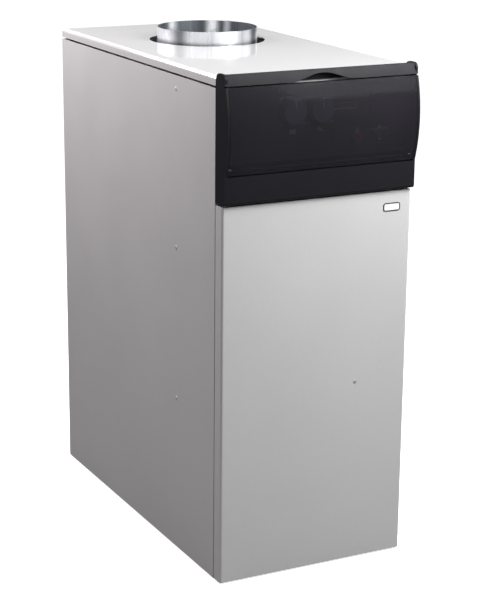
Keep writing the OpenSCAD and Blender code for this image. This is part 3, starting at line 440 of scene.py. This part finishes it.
def make_palette():
    """Every finish, by the name of the material slot that it fills."""
    black = (0.0098, 0.0093, 0.0116)
    heat_stain, burner_stain = (0.22, 0.17, 0.12), (0.36, 0.24, 0.14)
    along, even = (0.2, 6.0, 6.0), (3.0, 3.0, 3.0)
    upright, front_to_back = (6.0, 6.0, 0.4), (6.0, 0.3, 6.0)
    return {
        "painted_sheet": silver_paint("painted_sheet", (0.56, 0.555, 0.558), 0.40, 0.35),
        "top_white": glossy_top(),
        "galvanised_sheet": spangled("galvanised_sheet", (0.56, 0.58, 0.60)),
        "spring_steel": brushed("spring_steel", (0.09, 0.09, 0.095), 0.38, (0.3, 6.0, 6.0)),
        "badge_silver": brushed("badge_silver", (0.86, 0.86, 0.87), 0.42, along, 0.2, metallic=0.35),
        "zinc_screws": brushed("zinc_screws", (0.50, 0.50, 0.50), 0.34, even, 0.0),
        "mineral_wool": foil_facing(),
        "black_plastic": moulded("black_plastic", black, 0.42, 0.00002, 1800.0, specular_ior_level=0.07),
        "smoked_plastic": smoked_flap(),
        "dash_plastic": moulded("dash_plastic", (0.030, 0.030, 0.036), 0.45),
        "knob_plastic": moulded("knob_plastic", (0.105, 0.10, 0.135), 0.40),
        "switch_plastic": moulded("switch_plastic", (0.05, 0.05, 0.055), 0.22, 0.00001, 900.0, 0.2),
        "reset_plastic": moulded("reset_plastic", (0.15, 0.022, 0.022), 0.30, 0.00001, 900.0, 0.1),
        "lamp_lens": moulded("lamp_lens", (0.20, 0.09, 0.10), 0.12, 0.000004, 500.0, 0.5),
        "box_plastic": moulded("box_plastic", (0.11, 0.11, 0.12), 0.5),
        "circuit_board": solder_mask(),
        "rubber_gland": soft_rubber(),
        "cast_iron": cast("cast_iron", (0.115, 0.115, 0.12), 260.0, 0.62, 0.35, (0.16, 0.075, 0.04)),
        "steel_fittings": brushed("steel_fittings", (0.52, 0.52, 0.52), 0.32, even, 0.1),
        "flue_steel": polished_collar(),
        "aluminised_sheet": brushed("aluminised_sheet", (0.34, 0.34, 0.33), 0.42, upright, 0.3, heat_stain),
        "burner_steel": brushed("burner_steel", (0.50, 0.49, 0.47), 0.32, front_to_back, 0.3, burner_stain),
        "ceramic": fired_ceramic(),
        "sight_glass": clear_glass(),
        "brass": drawn("brass", (0.70, 0.50, 0.20), 0.26, (0.38, 0.25, 0.10)),
        "valve_alloy": cast("valve_alloy", (0.60, 0.61, 0.62), 420.0, 0.40, 0.85),
        "copper": drawn("copper", (0.80, 0.42, 0.27), 0.24, (0.40, 0.20, 0.13)),
        "gas_steel": painted("gas_steel", (0.74, 0.50, 0.045), 0.40, 0.00004),
        "lever_yellow": moulded("lever_yellow", (0.80, 0.55, 0.02), 0.35),
        "pump_paint": cast("pump_paint", (0.22, 0.02, 0.02), 320.0, 0.36),
        "vessel_red": painted("vessel_red", (0.48, 0.025, 0.02), 0.24, 0.00003, 0.3),
        "knob_red": moulded("knob_red", (0.50, 0.02, 0.015), 0.34),
        "gauge_black": moulded("gauge_black", (0.03, 0.03, 0.032), 0.4),
        "needle_red": painted("needle_red", (0.60, 0.02, 0.015), 0.35),
    }


palette = make_palette()
white_ink = ink("white_ink", (0.40, 0.39, 0.43))
black_ink = ink("black_ink", (0.02, 0.02, 0.02))
dial_white = ink("dial_white", (0.80, 0.80, 0.78))


def dress_cad():
    """Gives each CAD node its finish."""
    for part in frame["record"]["subparts"]:
        materials = nodes[part["node"]].data.materials
        materials.clear()
        materials.append(palette[part["material_slot"]])


dress_cad()


# ---------------------------------------------------------------- shapes

# Heights and places on the dashboard, in millimetres
KNOB_Z, LIGHTS_Z, SYMBOLS_Z, SWITCH_Z = 790, 793, 757, 739
SWITCH_X, RESET_X = 111, 70
DASH_STEP = 1.2
LAMP_COUNT = 6
LAMP_EDGE = 1.5
# The hair's breadth that a piece stands off the surface under it, and the height of printed ink
LIFT = 0.02
INK_TOP = 0.14


def facing(origin, out, up=(0, 0, 1)):
    """A place on a surface: its own x runs along it, y up it and z straight out of it."""
    c = Vector(out)
    b = Vector(up)
    a = b.cross(c)
    turn = Matrix((a, b, c)).transposed().to_4x4()
    return Matrix.Translation(Vector(origin)) @ turn


def on_front(x, y, z):
    """A place that faces forward, with its x along the boiler's width and its y upright."""
    return facing((x, y, z), (0, -1, 0))


def shifted(place, x, y):
    """The same place, moved along its own x and y."""
    return place @ Matrix.Translation((x, y, 0))


def polar(radius, degrees):
    """A flat point at a radius, turned clockwise from straight up."""
    turn = math.radians(degrees)
    return radius * math.sin(turn), radius * math.cos(turn)


def circle(radius, steps=32):
    turns = (2 * math.pi * i / steps for i in range(steps))
    return [(radius * math.cos(t), radius * math.sin(t)) for t in turns]


def rounded(width, height, radius, corner_steps=6):
    """Outline of a rectangle with round corners, centred on 0, 0."""
    points = []
    for corner in range(4):
        cx = (width / 2 - radius) * (1 if corner in (0, 3) else -1)
        cy = (height / 2 - radius) * (1 if corner in (0, 1) else -1)
        for i in range(corner_steps + 1):
            t = math.pi / 2 * (corner + i / corner_steps)
            points.append((cx + radius * math.cos(t), cy + radius * math.sin(t)))
    return points


def cross_slot(arm, half):
    """Outline of a cross recess, with points between its corners to meet a circle."""
    quarter = [(arm, -half), (arm, half), (half, half)]
    corners = []
    for turn in range(4):
        cos, sin = (1, 0, -1, 0)[turn], (0, 1, 0, -1)[turn]
        corners += [(x * cos - y * sin, x * sin + y * cos) for x, y in quarter]
    points = []
    for here, there in zip(corners, corners[1:] + corners[:1]):
        points += [tuple(h + (t - h) * k / 3 for h, t in zip(here, there)) for k in range(3)]
    return points


WELD = 1e-7


class Shape:
    """A mesh made of closed forms. Each is drawn on a place and moved to it."""

    def __init__(self):
        self.bm = bmesh.new()

    def loft(self, place, rings, finishes=None, closed=False):
        """Joins rings of (outline, height) in turn. The ends are capped, or joined when closed."""
        loops = []
        for outline, height in rings:
            loops.append([self.bm.verts.new(place @ Vector((x, y, height))) for x, y in outline])
        finishes = finishes or [0] * (len(rings) + 1)
        pairs = list(zip(loops, loops[1:]))
        if closed:
            pairs.append((loops[-1], loops[0]))
        for band, (low, high) in enumerate(pairs):
            for i, vert in enumerate(low):
                after = (i + 1) % len(low)
                face = self.bm.faces.new((vert, low[after], high[after], high[i]))
                face.material_index = finishes[band]
        if not closed:
            self.bm.faces.new(list(reversed(loops[0]))).material_index = finishes[0]
            self.bm.faces.new(loops[-1]).material_index = finishes[-1]

    def prism(self, place, outline, low, high, finish=0):
        self.loft(place, [(outline, low), (outline, high)], [finish] * 3)

    def turned(self, place, profile, steps=32, finish=0):
        """A round form from (radius, height) steps, the last radius above 0."""
        self.loft(place, [(circle(r, steps), h) for r, h in profile], [finish] * (len(profile) + 1))

    def hoop(self, place, profile, steps=64, finish=0):
        """A round ring whose closed section is given as (radius, height) steps."""
        self.loft(place, [(circle(r, steps), h) for r, h in profile], [finish] * (len(profile) + 1), True)

    def stroke(self, place, points, width, low, high, finish=0):
        """A printed or raised line through flat points, with mitred corners."""
        left, right = [], []
        for i, point in enumerate(points):
            here = Vector(point)
            before = Vector(points[max(i - 1, 0)])
            after = Vector(points[min(i + 1, len(points) - 1)])
            along = ((after - here).normalized() + (here - before).normalized()).normalized()
            side = Vector((-along.y, along.x)) * width / 2
            left.append(tuple(here + side))
            right.append(tuple(here - side))
        self.prism(place, right + left[::-1], low, high, finish)

    def text(self, place, words, size, low, high, finish=0):
        """Upright generic numbers, centred on the place."""
        data = bpy.data.curves.new("number", "FONT")
        data.body = words
        data.size = size
        data.align_x = "CENTER"
        data.align_y = "CENTER"
        data.resolution_u = 3
        data.extrude = (high - low) / 2
        made = bpy.data.objects.new("number", data)
        scene.collection.objects.link(made)
        bpy.context.view_layer.update()
        mesh = bpy.data.meshes.new_from_object(made.evaluated_get(bpy.context.evaluated_depsgraph_get()))
        mesh.transform(place @ Matrix.Translation((0, 0, (low + high) / 2)))
        known = len(self.bm.faces)
        self.bm.from_mesh(mesh)
        self.bm.faces.ensure_lookup_table()
        for face in self.bm.faces[known:]:
            face.material_index = finish
        bpy.data.objects.remove(made)
        bpy.data.meshes.remove(mesh)
        bpy.data.curves.remove(data)

    def piece(self, name, body, slot, *finishes, smooth=35.0):
        """Turns the shape into a piece of the model, in metres, and lets it ride on its body."""
        bm = self.bm
        bm.transform(Matrix.Scale(MM, 4) @ Matrix.Translation((0, FRONT, 0)))
        bmesh.ops.remove_doubles(bm, verts=bm.verts, dist=WELD)
        bmesh.ops.recalc_face_normals(bm, faces=bm.faces)
        for face in bm.faces:
            face.smooth = True
        for edge in bm.edges:
            edge.smooth = len(edge.link_faces) == 2 and edge.calc_face_angle(0.0) < math.radians(smooth)
        mesh = bpy.data.meshes.new(name)
        bm.to_mesh(mesh)
        bm.free()
        for finish in finishes:
            mesh.materials.append(finish)
        made = bpy.data.objects.new(name, mesh)
        scene.collection.objects.link(made)
        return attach(made, body)


def pan_head(shape, place, radius, rise):
    """A pan-head screw with a washer face, a crowned head and a cross recess."""
    slot = cross_slot(radius * 0.50, radius * 0.11)
    turns = [math.atan2(y, x) for x, y in slot]

    def ring(r):
        return [(r * math.cos(t), r * math.sin(t)) for t in turns]

    crown = [(1.0, 0.0), (1.0, 0.30), (0.96, 0.52), (0.86, 0.78), (0.72, 0.93), (0.60, 1.0)]
    rings = [(ring(radius * r), rise * h) for r, h in crown]
    rings += [(slot, rise), (slot, rise * 0.45)]
    shape.loft(place, rings)


def hex_head(shape, place):
    """A self-tapping screw with a hexagon head on a round flange."""
    across, rise, washer = 8.0, 4.0, 5.6
    flange = [(washer, 0.0), (washer, 0.25 * rise), (washer * 0.86, 0.35 * rise)]
    shape.turned(place, flange, 24)
    six = circle(across / 2, 6)
    small = circle(across / 2 * 0.86, 6)
    shape.loft(place, [(six, 0.3 * rise), (six, 0.85 * rise), (small, rise)])


def screws():
    """Cross-recessed screws in place of the CAD frame's plain ones, and the one on the front panel."""
    sides, backs, front = Shape(), Shape(), Shape()
    side_y, side_heights = 172, (277, 543, 809)
    side_radius, side_rise = 3.6, 0.85
    half = box_mm("right_side_panel")[1].x
    for z in side_heights:
        for side in (-1, 1):
            place = facing((side * (half + LIFT), side_y, z), (side, 0, 0))
            pan_head(sides, place, side_radius, side_rise)
    back_x, back_heights = 162, (40, 400, 785)
    back_radius, back_rise = 4.6, 1.9
    back = box_mm("back_panel")[1].y
    for x in (-back_x, back_x):
        for z in back_heights:
            pan_head(backs, facing((x, back + LIFT, z), (0, 1, 0)), back_radius, back_rise)
    front_x, front_z = 77, 323
    front_radius, front_rise = 3.0, 0.95
    pan_head(front, on_front(front_x, -LIFT, front_z), front_radius, front_rise)
    paint, zinc = palette["painted_sheet"], palette["zinc_screws"]
    made = sides.piece("side_screw_heads", "boiler", "painted_sheet", paint)
    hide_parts("casing_screws")
    made = backs.piece("back_screw_heads", "boiler", "zinc_screws", zinc)
    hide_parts("casing_screws")
    front.piece("front_screw_head", "front_cover", "painted_sheet", paint)


def badge():
    """A blank badge: a dark raised rim round a recessed satin plate."""
    low, high = box_mm("badge_plate")
    width, height = high.x - low.x, high.z - low.z
    middle = (low + high) / 2
    place = on_front(middle.x, high.y, middle.z)
    rise = high.y - low.y
    bevel, sink = 0.2, 0.45
    outer = rounded(width, height, 4.0)
    shoulder = rounded(width - 0.5, height - 0.5, 3.75)
    inner = rounded(width - 2.9, height - 2.9, 2.55)
    floor = rounded(width - 3.2, height - 3.2, 2.4)
    rings = [(outer, LIFT), (outer, rise - bevel), (shoulder, rise), (inner, rise), (floor, rise - sink)]
    rim, plate = 0, 1
    shape = Shape()
    shape.loft(place, rings, [rim, rim, rim, rim, plate, plate])
    finishes = palette["black_plastic"], palette["badge_silver"]
    made = shape.piece("badge", "front_cover", "badge_silver", *finishes)
    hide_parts("badge_plate")


def around_grid(rows):
    """The border of a grid of points, in order, each corner once."""
    right = [row[-1] for row in rows[1:-1]]
    left = [row[0] for row in rows[-2:0:-1]]
    return rows[0] + right + rows[-1][::-1] + left


def quilts():
    """Foil-faced wool on both sides of the castings, crowned between rows of stitching."""
    low, high = box_mm("insulation_pads")
    block_side = 118.5
    gap, thinnest, thickest = 0.3, 3.0, 19.0
    fullest = high.x - block_side - 4.2
    steps_y, steps_z = 72, 54
    rows_y, rows_z = 5, 3
    rim_y, rim_z = 14, 9
    for name, side in (("left_insulation", -1), ("right_insulation", 1)):
        bm = bmesh.new()
        outside, inside = [], []
        for j in range(steps_z + 1):
            row_out, row_in = [], []
            for i in range(steps_y + 1):
                u, v = i / steps_y, j / steps_z
                y = low.y + (high.y - low.y) * u
                z = low.z + (high.z - low.z) * v
                rim = min(1.0, min(u, 1 - u) * rim_y, min(v, 1 - v) * rim_z)
                swell = math.sqrt(max(0.0, 1 - (1 - rim) ** 2))
                stitch = abs(math.sin(math.pi * u * rows_y)) * abs(math.sin(math.pi * v * rows_z))
                crown = 0.45 + 0.55 * stitch ** 0.35
                ripple = 0.7 * noise.noise(Vector((y / 26, z / 26, side * 3.0)))
                thick = min(thickest, thinnest + fullest * swell * crown + ripple * swell)
                pull = 2.5 * (1 - swell) * noise.noise(Vector((y / 40, z / 40, 9.0)))
                if 0 < u < 1 and 0.05 < v < 0.95:
                    y = min(max(y + pull, low.y), high.y)
                row_out.append(bm.verts.new((side * (block_side + thick), y, z)))
                row_in.append(bm.verts.new((side * (block_side + gap), y, z)))
            outside.append(row_out)
            inside.append(row_in)
        for sheet in (outside, inside):
            for j in range(steps_z):
                for i in range(steps_y):
                    corners = sheet[j][i], sheet[j][i + 1], sheet[j + 1][i + 1], sheet[j + 1][i]
                    bm.faces.new(corners)
        edge_out, edge_in = around_grid(outside), around_grid(inside)
        for i in range(len(edge_out)):
            after = (i + 1) % len(edge_out)
            bm.faces.new((edge_out[i], edge_out[after], edge_in[after], edge_in[i]))
        quilt = Shape()
        quilt.bm.free()
        quilt.bm = bm
        made = quilt.piece(name, "boiler", "mineral_wool", palette["mineral_wool"], smooth=60.0)
        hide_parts("insulation_pads")


def ring_line(shape, place, outer, inner, low, high):
    """A flat printed outline between two closed lines."""
    rings = [(outer, low), (outer, high), (inner, high), (inner, low)]
    shape.loft(place, rings, closed=True)


def dial_print():
    """Scales, numbers and plain symbols printed on the dashboard behind the flap."""
    dash = box_mm("dashboard")[0].y
    face = dash + DASH_STEP
    low, high = LIFT, INK_TOP
    inner, outer = 23.55, 24.65
    long_mark, short_mark = 1.1, 0.7
    number_reach, number_size = 29.5, 5.2
    shape = Shape()
    dials = {
        "heating_knob": ("30", "50", "60", "70", "90"),
        "hot_water_knob": ("35", "45", "50", "55", "65"),
    }
    for knob, numbers in dials.items():
        box_low, box_high = box_mm(knob)
        x = (box_low.x + box_high.x) / 2
        ring = on_front(x, dash, KNOB_Z)
        for i in range(11):
            degrees = -135 + 27 * i
            width = long_mark if i % 5 == 0 else short_mark
            shape.stroke(ring, [polar(inner, degrees), polar(outer, degrees)], width, low, high)
        for number, degrees in zip(numbers, (-135, -45, 0, 45, 135)):
            right, up = polar(number_reach, degrees)
            shape.text(on_front(x + right, face, KNOB_Z + up), number, number_size, low, high)
    lights_low, lights_high = box_mm("indicator_lights")
    pitch = (lights_high.x - lights_low.x - 2 * LAMP_EDGE) / (LAMP_COUNT - 1)
    scale_z, scale_size = 787.2, 3.6
    for i in range(LAMP_COUNT):
        x = lights_low.x + LAMP_EDGE + pitch * i
        shape.text(on_front(x, face, scale_z), str(40 + 10 * i), scale_size, low, high)
    lamps = on_front((lights_low.x + lights_high.x) / 2, face, LIGHTS_Z)
    row = pitch * (LAMP_COUNT - 1)
    ring_line(shape, lamps, rounded(row + 9, 8.5, 2.0), rounded(row + 8.2, 7.7, 1.7), low, high)
    heating_x, water_x = -50, 0
    radiator(shape, on_front(heating_x, face, SYMBOLS_Z), low, high)
    tap(shape, on_front(water_x, face, SYMBOLS_Z), low, high)
    flame_z, power_z = 752, 754.5
    flame(shape, on_front(RESET_X, face, flame_z), low, high)
    power(shape, on_front(SWITCH_X, face, power_z), low, high)
    shape.piece("dashboard_print", "boiler", "dash_plastic", white_ink)


def radiator(shape, place, low, high):
    """The sign for heating: four upright bars joined by short links."""
    for i in range(4):
        shape.prism(shifted(place, -4.5 + 3 * i, 0), rounded(1.8, 7.5, 0.85, 3), low, high)
    for up in (-2.3, 2.3):
        for i in range(3):
            shape.prism(shifted(place, -3 + 3 * i, up), rounded(1.1, 0.6, 0.1, 1), low, high)


def tap(shape, place, low, high):
    """The sign for hot water: a tap with its handle."""
    bend = []
    for degrees in range(15, 91, 15):
        right, up = polar(3, degrees)
        bend.append((1.0 + right, -2.5 + up))
    shape.stroke(place, [(-5, 0.5), (1.0, 0.5)] + bend + [(4.0, -3.6)], 1.7, low, high)
    shape.stroke(place, [(-1.5, 1.5), (-1.5, 3.4)], 0.9, low, high)
    shape.stroke(place, [(-4.0, 3.8), (1.0, 3.8)], 0.9, low, high)


def flame(shape, place, low, high):
    """The sign for the burner: the outline of a flame."""
    side = [(0.0, 4.4), (0.5, 2.9), (1.7, 1.4), (2.6, -0.3), (2.5, -2.0), (1.4, -3.4), (0.0, -3.9)]
    other = [(-1.4, -3.4), (-2.5, -2.1), (-2.5, -0.5), (-1.7, 0.9), (-1.1, 2.0), (-0.6, 3.2)]
    outline = side + other
    inner = [(x * 0.62, y * 0.62 - 0.9) for x, y in outline]
    ring_line(shape, place, outline, inner, low, high)


def power(shape, place, low, high):
    """The sign for the main switch: an open ring with a bar in its gap."""
    arc = [polar(2.6, degrees) for degrees in range(40, 321, 20)]
    shape.stroke(place, arc, 0.6, low, high)
    shape.stroke(place, [(0, 0.4), (0, 3.6)], 0.6, low, high)


def knob_pointers():
    """White lines let into the knobs' grooves, which turn with them."""
    groove_floor, reach = 0.78, 11.9
    foot, crown = rounded(1.7, 15.4, 0.5), rounded(1.3, 15.0, 0.4)
    for knob, body in (("heating_knob", "heating_setting"), ("hot_water_knob", "hot_water_setting")):
        low, high = box_mm(knob)
        x = (low.x + high.x) / 2
        line = Shape()
        place = shifted(on_front(x, low.y + groove_floor, KNOB_Z), 0, reach)
        line.loft(place, [(foot, 0.0), (foot, 0.3), (crown, 0.42)])
        line.piece(knob + "_pointer", body, "knob_plastic", white_ink)


def switch_marks():
    """The usual bar and ring on the rocker, tilted as its face is."""
    tilt = Matrix.Rotation(math.radians(9), 4, "X")
    pivot_y, face_ahead, top = 3.52, 3.4, 0.12
    pivot = Matrix.Translation((SWITCH_X, pivot_y, SWITCH_Z))
    face = pivot @ tilt @ on_front(0, -face_ahead, 0)
    marks = Shape()
    marks.prism(shifted(face, 0, 5.0), rounded(0.9, 4.4, 0.2, 2), LIFT, top)
    ring_line(marks, shifted(face, 0, -4.6), circle(2.2), circle(1.5), LIFT, top)
    marks.piece("switch_marks", "rocker", "switch_plastic", white_ink)


def switch_bezel():
    """A moulded frame round the rocker and a collar round the reset button."""
    face = box_mm("dashboard")[0].y + DASH_STEP
    shape = Shape()
    shoulder, top = 0.6, 1.0
    outer, inner = rounded(33.0, 25.4, 2.2), rounded(29.2, 21.4, 1.0)
    crown = rounded(32.0, 24.4, 1.8)
    rings = [(outer, LIFT), (outer, shoulder), (crown, top), (inner, top), (inner, LIFT)]
    shape.loft(on_front(SWITCH_X, face, SWITCH_Z), rings, closed=True)
    collar = [(9.4, LIFT), (9.4, 0.7), (8.7, 1.2), (7.2, 1.2), (6.6, 0.8), (6.6, LIFT)]
    shape.hoop(on_front(RESET_X, face, SWITCH_Z), collar, 40)
    shape.piece("switch_bezels", "boiler", "dash_plastic", palette["knob_plastic"])


def lamp_lenses():
    """Domed lenses over the six indicator lights."""
    low, high = box_mm("indicator_lights")
    pitch = (high.x - low.x - 2 * LAMP_EDGE) / (LAMP_COUNT - 1)
    radius, foot, rise, inset = 1.45, 0.05, 0.9, 0.5
    dome = [(radius, 0.0)]
    for degrees in (20, 40, 60, 78):
        turn = math.radians(degrees)
        dome.append((radius * math.cos(turn), foot + rise * math.sin(turn)))
    domes = Shape()
    for i in range(LAMP_COUNT):
        place = on_front(low.x + LAMP_EDGE + pitch * i, low.y + inset, LIGHTS_Z)
        domes.turned(place, dome, 24)
    domes.piece("lamp_lenses", "boiler", "lamp_lens", palette["lamp_lens"])


def gauge_face():
    """The pressure gauge's white dial with its scale, and the glass over it."""
    x, z = 40, 532.8
    dial_y, glass_y = 40.98, 37.3
    radius, card = 23.2, 0.10
    low, high = 0.11, 0.15
    tip, long_root, short_root = 21.6, 18.2, 19.8
    long_width, short_width = 0.7, 0.35
    number_reach, number_size = 14.6, 6.0
    paper, print_ = 0, 1
    place = on_front(x, dial_y, z)
    dial = Shape()
    dial.turned(place, [(radius, 0.0), (radius, card)], 64, paper)
    for i in range(21):
        degrees = -135 + 13.5 * i
        long = i % 5 == 0
        ends = [polar(long_root if long else short_root, degrees), polar(tip, degrees)]
        dial.stroke(place, ends, long_width if long else short_width, low, high, print_)
    for i in range(5):
        spot = shifted(place, *polar(number_reach, -135 + 67.5 * i))
        dial.text(spot, str(i), number_size, low, high, print_)
    dial.piece("gauge_dial", "boiler", "gauge_black", dial_white, black_ink)
    glass = Shape()
    pane = [(radius, 0.0), (23.3, 0.2), (23.3, 0.6), (22.9, 0.8)]
    glass.turned(on_front(x, glass_y, z), pane, 64)
    glass.piece("gauge_glass", "boiler", "sight_glass", palette["sight_glass"])


def sheet_screws():
    """Flanged screws that hold the hood, the neck and the burner chamber together."""
    heads = Shape()

    def on_top(low, high, inset_x, inset_y):
        for x in (low.x + inset_x, high.x - inset_x):
            for y in (low.y + inset_y, high.y - inset_y):
                hex_head(heads, facing((x, y, high.z + LIFT), (0, 0, 1), (0, 1, 0)))

    hood_low, hood_high = box_mm("draught_hood")
    on_top(hood_low, hood_high, 14, 30)
    hood_z, hood_pitch = 690, 60
    for i in range(4):
        hex_head(heads, on_front(hood_pitch * (i - 1.5), hood_low.y - LIFT, hood_z))
    on_top(*box_mm("hood_neck"), 12, 12)
    chamber_low, chamber_high = box_mm("combustion_chamber")
    chamber_z = 285
    for side, x in ((-1, chamber_low.x), (1, chamber_high.x)):
        for y in (180, 300, 420, 520):
            hex_head(heads, facing((x + side * LIFT, y, chamber_z), (side, 0, 0)))
    heads.piece("sheet_screws", "boiler", "zinc_screws", palette["zinc_screws"])


def pump_cover():
    """The blank ring on the pump's end, and the four cap screws in its flange."""
    x, z = 82, 235
    end_inset, flange_y = 2.0, 79.96
    bolt_circle = 35.657
    label, steel = 0, 1
    details = Shape()
    end = on_front(x, box_mm("pump_housing")[0].y + end_inset, z)
    ring = [(31.0, LIFT), (31.0, 0.5), (30.0, 0.9), (14.0, 0.9), (13.0, 0.5), (13.0, LIFT)]
    details.hoop(end, ring, 64, label)
    head, crown, socket = circle(1.9, 24), circle(1.7, 24), circle(1.0, 24)
    cap = [(head, 0.0), (head, 2.6), (crown, 2.9), (socket, 2.9), (socket, 1.4)]
    for degrees in (45, 135, 225, 315):
        right, up = polar(bolt_circle, degrees)
        details.loft(on_front(x + right, flange_y, z + up), cap, [steel] * 6)
    finishes = palette["badge_silver"], palette["zinc_screws"]
    details.piece("pump_details", "boiler", "pump_paint", *finishes)


screws()
badge()
quilts()
dial_print()
knob_pointers()
switch_marks()
switch_bezel()
lamp_lenses()
gauge_face()
sheet_screws()
pump_cover()


# ---------------------------------------------------------------- stage, light and camera

# The floor and the surround are white to the camera, and give back this much of the light
FLOOR_BOUNCE = 0.15
SURROUND = 0.335
WHITE = (1.0, 1.0, 1.0)
WARM = (1.0, 0.94, 0.955)
# Each lamp is its name, place, target, size in metres, power in watts and colour
LAMPS = [
    ("side_close", (-0.6, 0.6, 1.25), (-0.175, 0.15, 0.75), (0.5, 0.5), 9.4, WARM),
    ("side_front", (-0.75, -0.1, 1.45), (-0.175, -0.15, 0.75), (0.5, 0.5), 5.5, WARM),
    ("front_near", (0.6, -1.0, 1.5), (0.1, -0.34, 0.6), (0.6, 0.6), 34, WHITE),
    ("front_close", (0.45, -0.8, 1.1), (0.12, -0.34, 0.5), (0.5, 0.5), 3.2, WHITE),
    ("overhead", (0.2, 0.3, 2.6), (0.0, 0.0, 0.85), (2.0, 2.0), 34, WHITE),
]


def beyond(surface, letter, low, high):
    """0 between low and high along one axis, with a margin inwards, and 1 past them."""
    margin, edge = 0.010, 0.001
    half = (high - low) / 2 - margin
    off = surface.math("ABSOLUTE", surface.math("SUBTRACT", surface.axis(letter), (low + high) / 2))
    return surface.span(off, half, half + edge)


def plain_floor():
    """A floor that the camera sees as white, except inside the boiler."""
    radius, drop, glow = 9.0, 0.0004, 0.8
    shape = bmesh.new()
    bmesh.ops.create_circle(shape, cap_ends=True, segments=96, radius=radius)
    mesh = bpy.data.meshes.new("floor")
    shape.to_mesh(mesh)
    shape.free()
    floor = bpy.data.objects.new("floor", mesh)
    scene.collection.objects.link(floor)
    finish = Surface("floor_finish", (0.80, 0.80, 0.80), 0.7)
    finish.shade(finish.noise(3.0, 3.0), 0.995, 1.0)
    low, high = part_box("base_frame")
    past_x = beyond(finish, "X", low.x, high.x)
    past_y = beyond(finish, "Y", low.y, high.y)
    outside = finish.math("MAXIMUM", past_x, past_y)
    seen = finish.times(finish.node("ShaderNodeLightPath").outputs["Is Camera Ray"], outside)
    finish.tint(finish.span(seen, 0.0, 1.0, 1.0, 0.0), (FLOOR_BOUNCE, FLOOR_BOUNCE, FLOOR_BOUNCE))
    finish.set("Emission Color", (*WHITE, 1.0))
    finish.put(finish.span(seen, 0.0, 1.0, 0.0, glow), finish.bsdf.inputs["Emission Strength"])
    floor.data.materials.append(finish.done())
    floor.location.z = -drop


def area_light(name, place, target, size, power, color):
    """A rectangular lamp that faces its target."""
    data = bpy.data.lights.new(name, "AREA")
    data.shape = "RECTANGLE"
    data.size, data.size_y = size
    data.energy = power
    data.color = color
    lamp = bpy.data.objects.new(name, data)
    scene.collection.objects.link(lamp)
    lamp.location = place
    lamp.rotation_euler = (Vector(target) - Vector(place)).to_track_quat("-Z", "Y").to_euler()


def sky():
    """Soft white surround: plain white behind the object, dimmer where it only lights it."""
    world = bpy.data.worlds.new("studio")
    scene.world = world
    world.use_nodes = True
    tree = world.node_tree
    tree.nodes.clear()
    out = tree.nodes.new("ShaderNodeOutputWorld")
    mix = tree.nodes.new("ShaderNodeMixShader")
    path = tree.nodes.new("ShaderNodeLightPath")
    seen = tree.nodes.new("ShaderNodeBackground")
    fill = tree.nodes.new("ShaderNodeBackground")
    for background, strength in ((seen, 1.0), (fill, SURROUND)):
        background.inputs["Color"].default_value = (*WHITE, 1.0)
        background.inputs["Strength"].default_value = strength
    tree.links.new(path.outputs["Is Camera Ray"], mix.inputs["Fac"])
    tree.links.new(fill.outputs["Background"], mix.inputs[1])
    tree.links.new(seen.outputs["Background"], mix.inputs[2])
    tree.links.new(mix.outputs["Shader"], out.inputs["Surface"])


def camera():
    """The camera stands at the front left, above the boiler, and looks down at it."""
    place = Vector((-1.3737, -2.7462, 1.2558))
    yaw, pitch, roll = 0.4767, 0.2756, 0.0101
    sensor_mm = 36.0
    focal_px, long_side_px = 1752.1, 600
    level = math.cos(pitch)
    ahead = Vector((math.sin(yaw) * level, math.cos(yaw) * level, -math.sin(pitch)))
    right = ahead.cross(Vector((0, 0, 1))).normalized()
    up = right.cross(ahead)
    rolled_right = right * math.cos(roll) + up * math.sin(roll)
    rolled_up = up * math.cos(roll) - right * math.sin(roll)
    data = bpy.data.cameras.new("camera")
    data.sensor_width = sensor_mm
    data.lens = sensor_mm * focal_px / long_side_px
    made = bpy.data.objects.new("camera", data)
    scene.collection.objects.link(made)
    turn = Matrix((rolled_right, rolled_up, -ahead)).transposed()
    made.matrix_world = Matrix.Translation(place) @ turn.to_4x4()
    scene.camera = made


plain_floor()
for settings in LAMPS:
    area_light(*settings)
sky()
camera()
scene.view_settings.view_transform = "Standard"
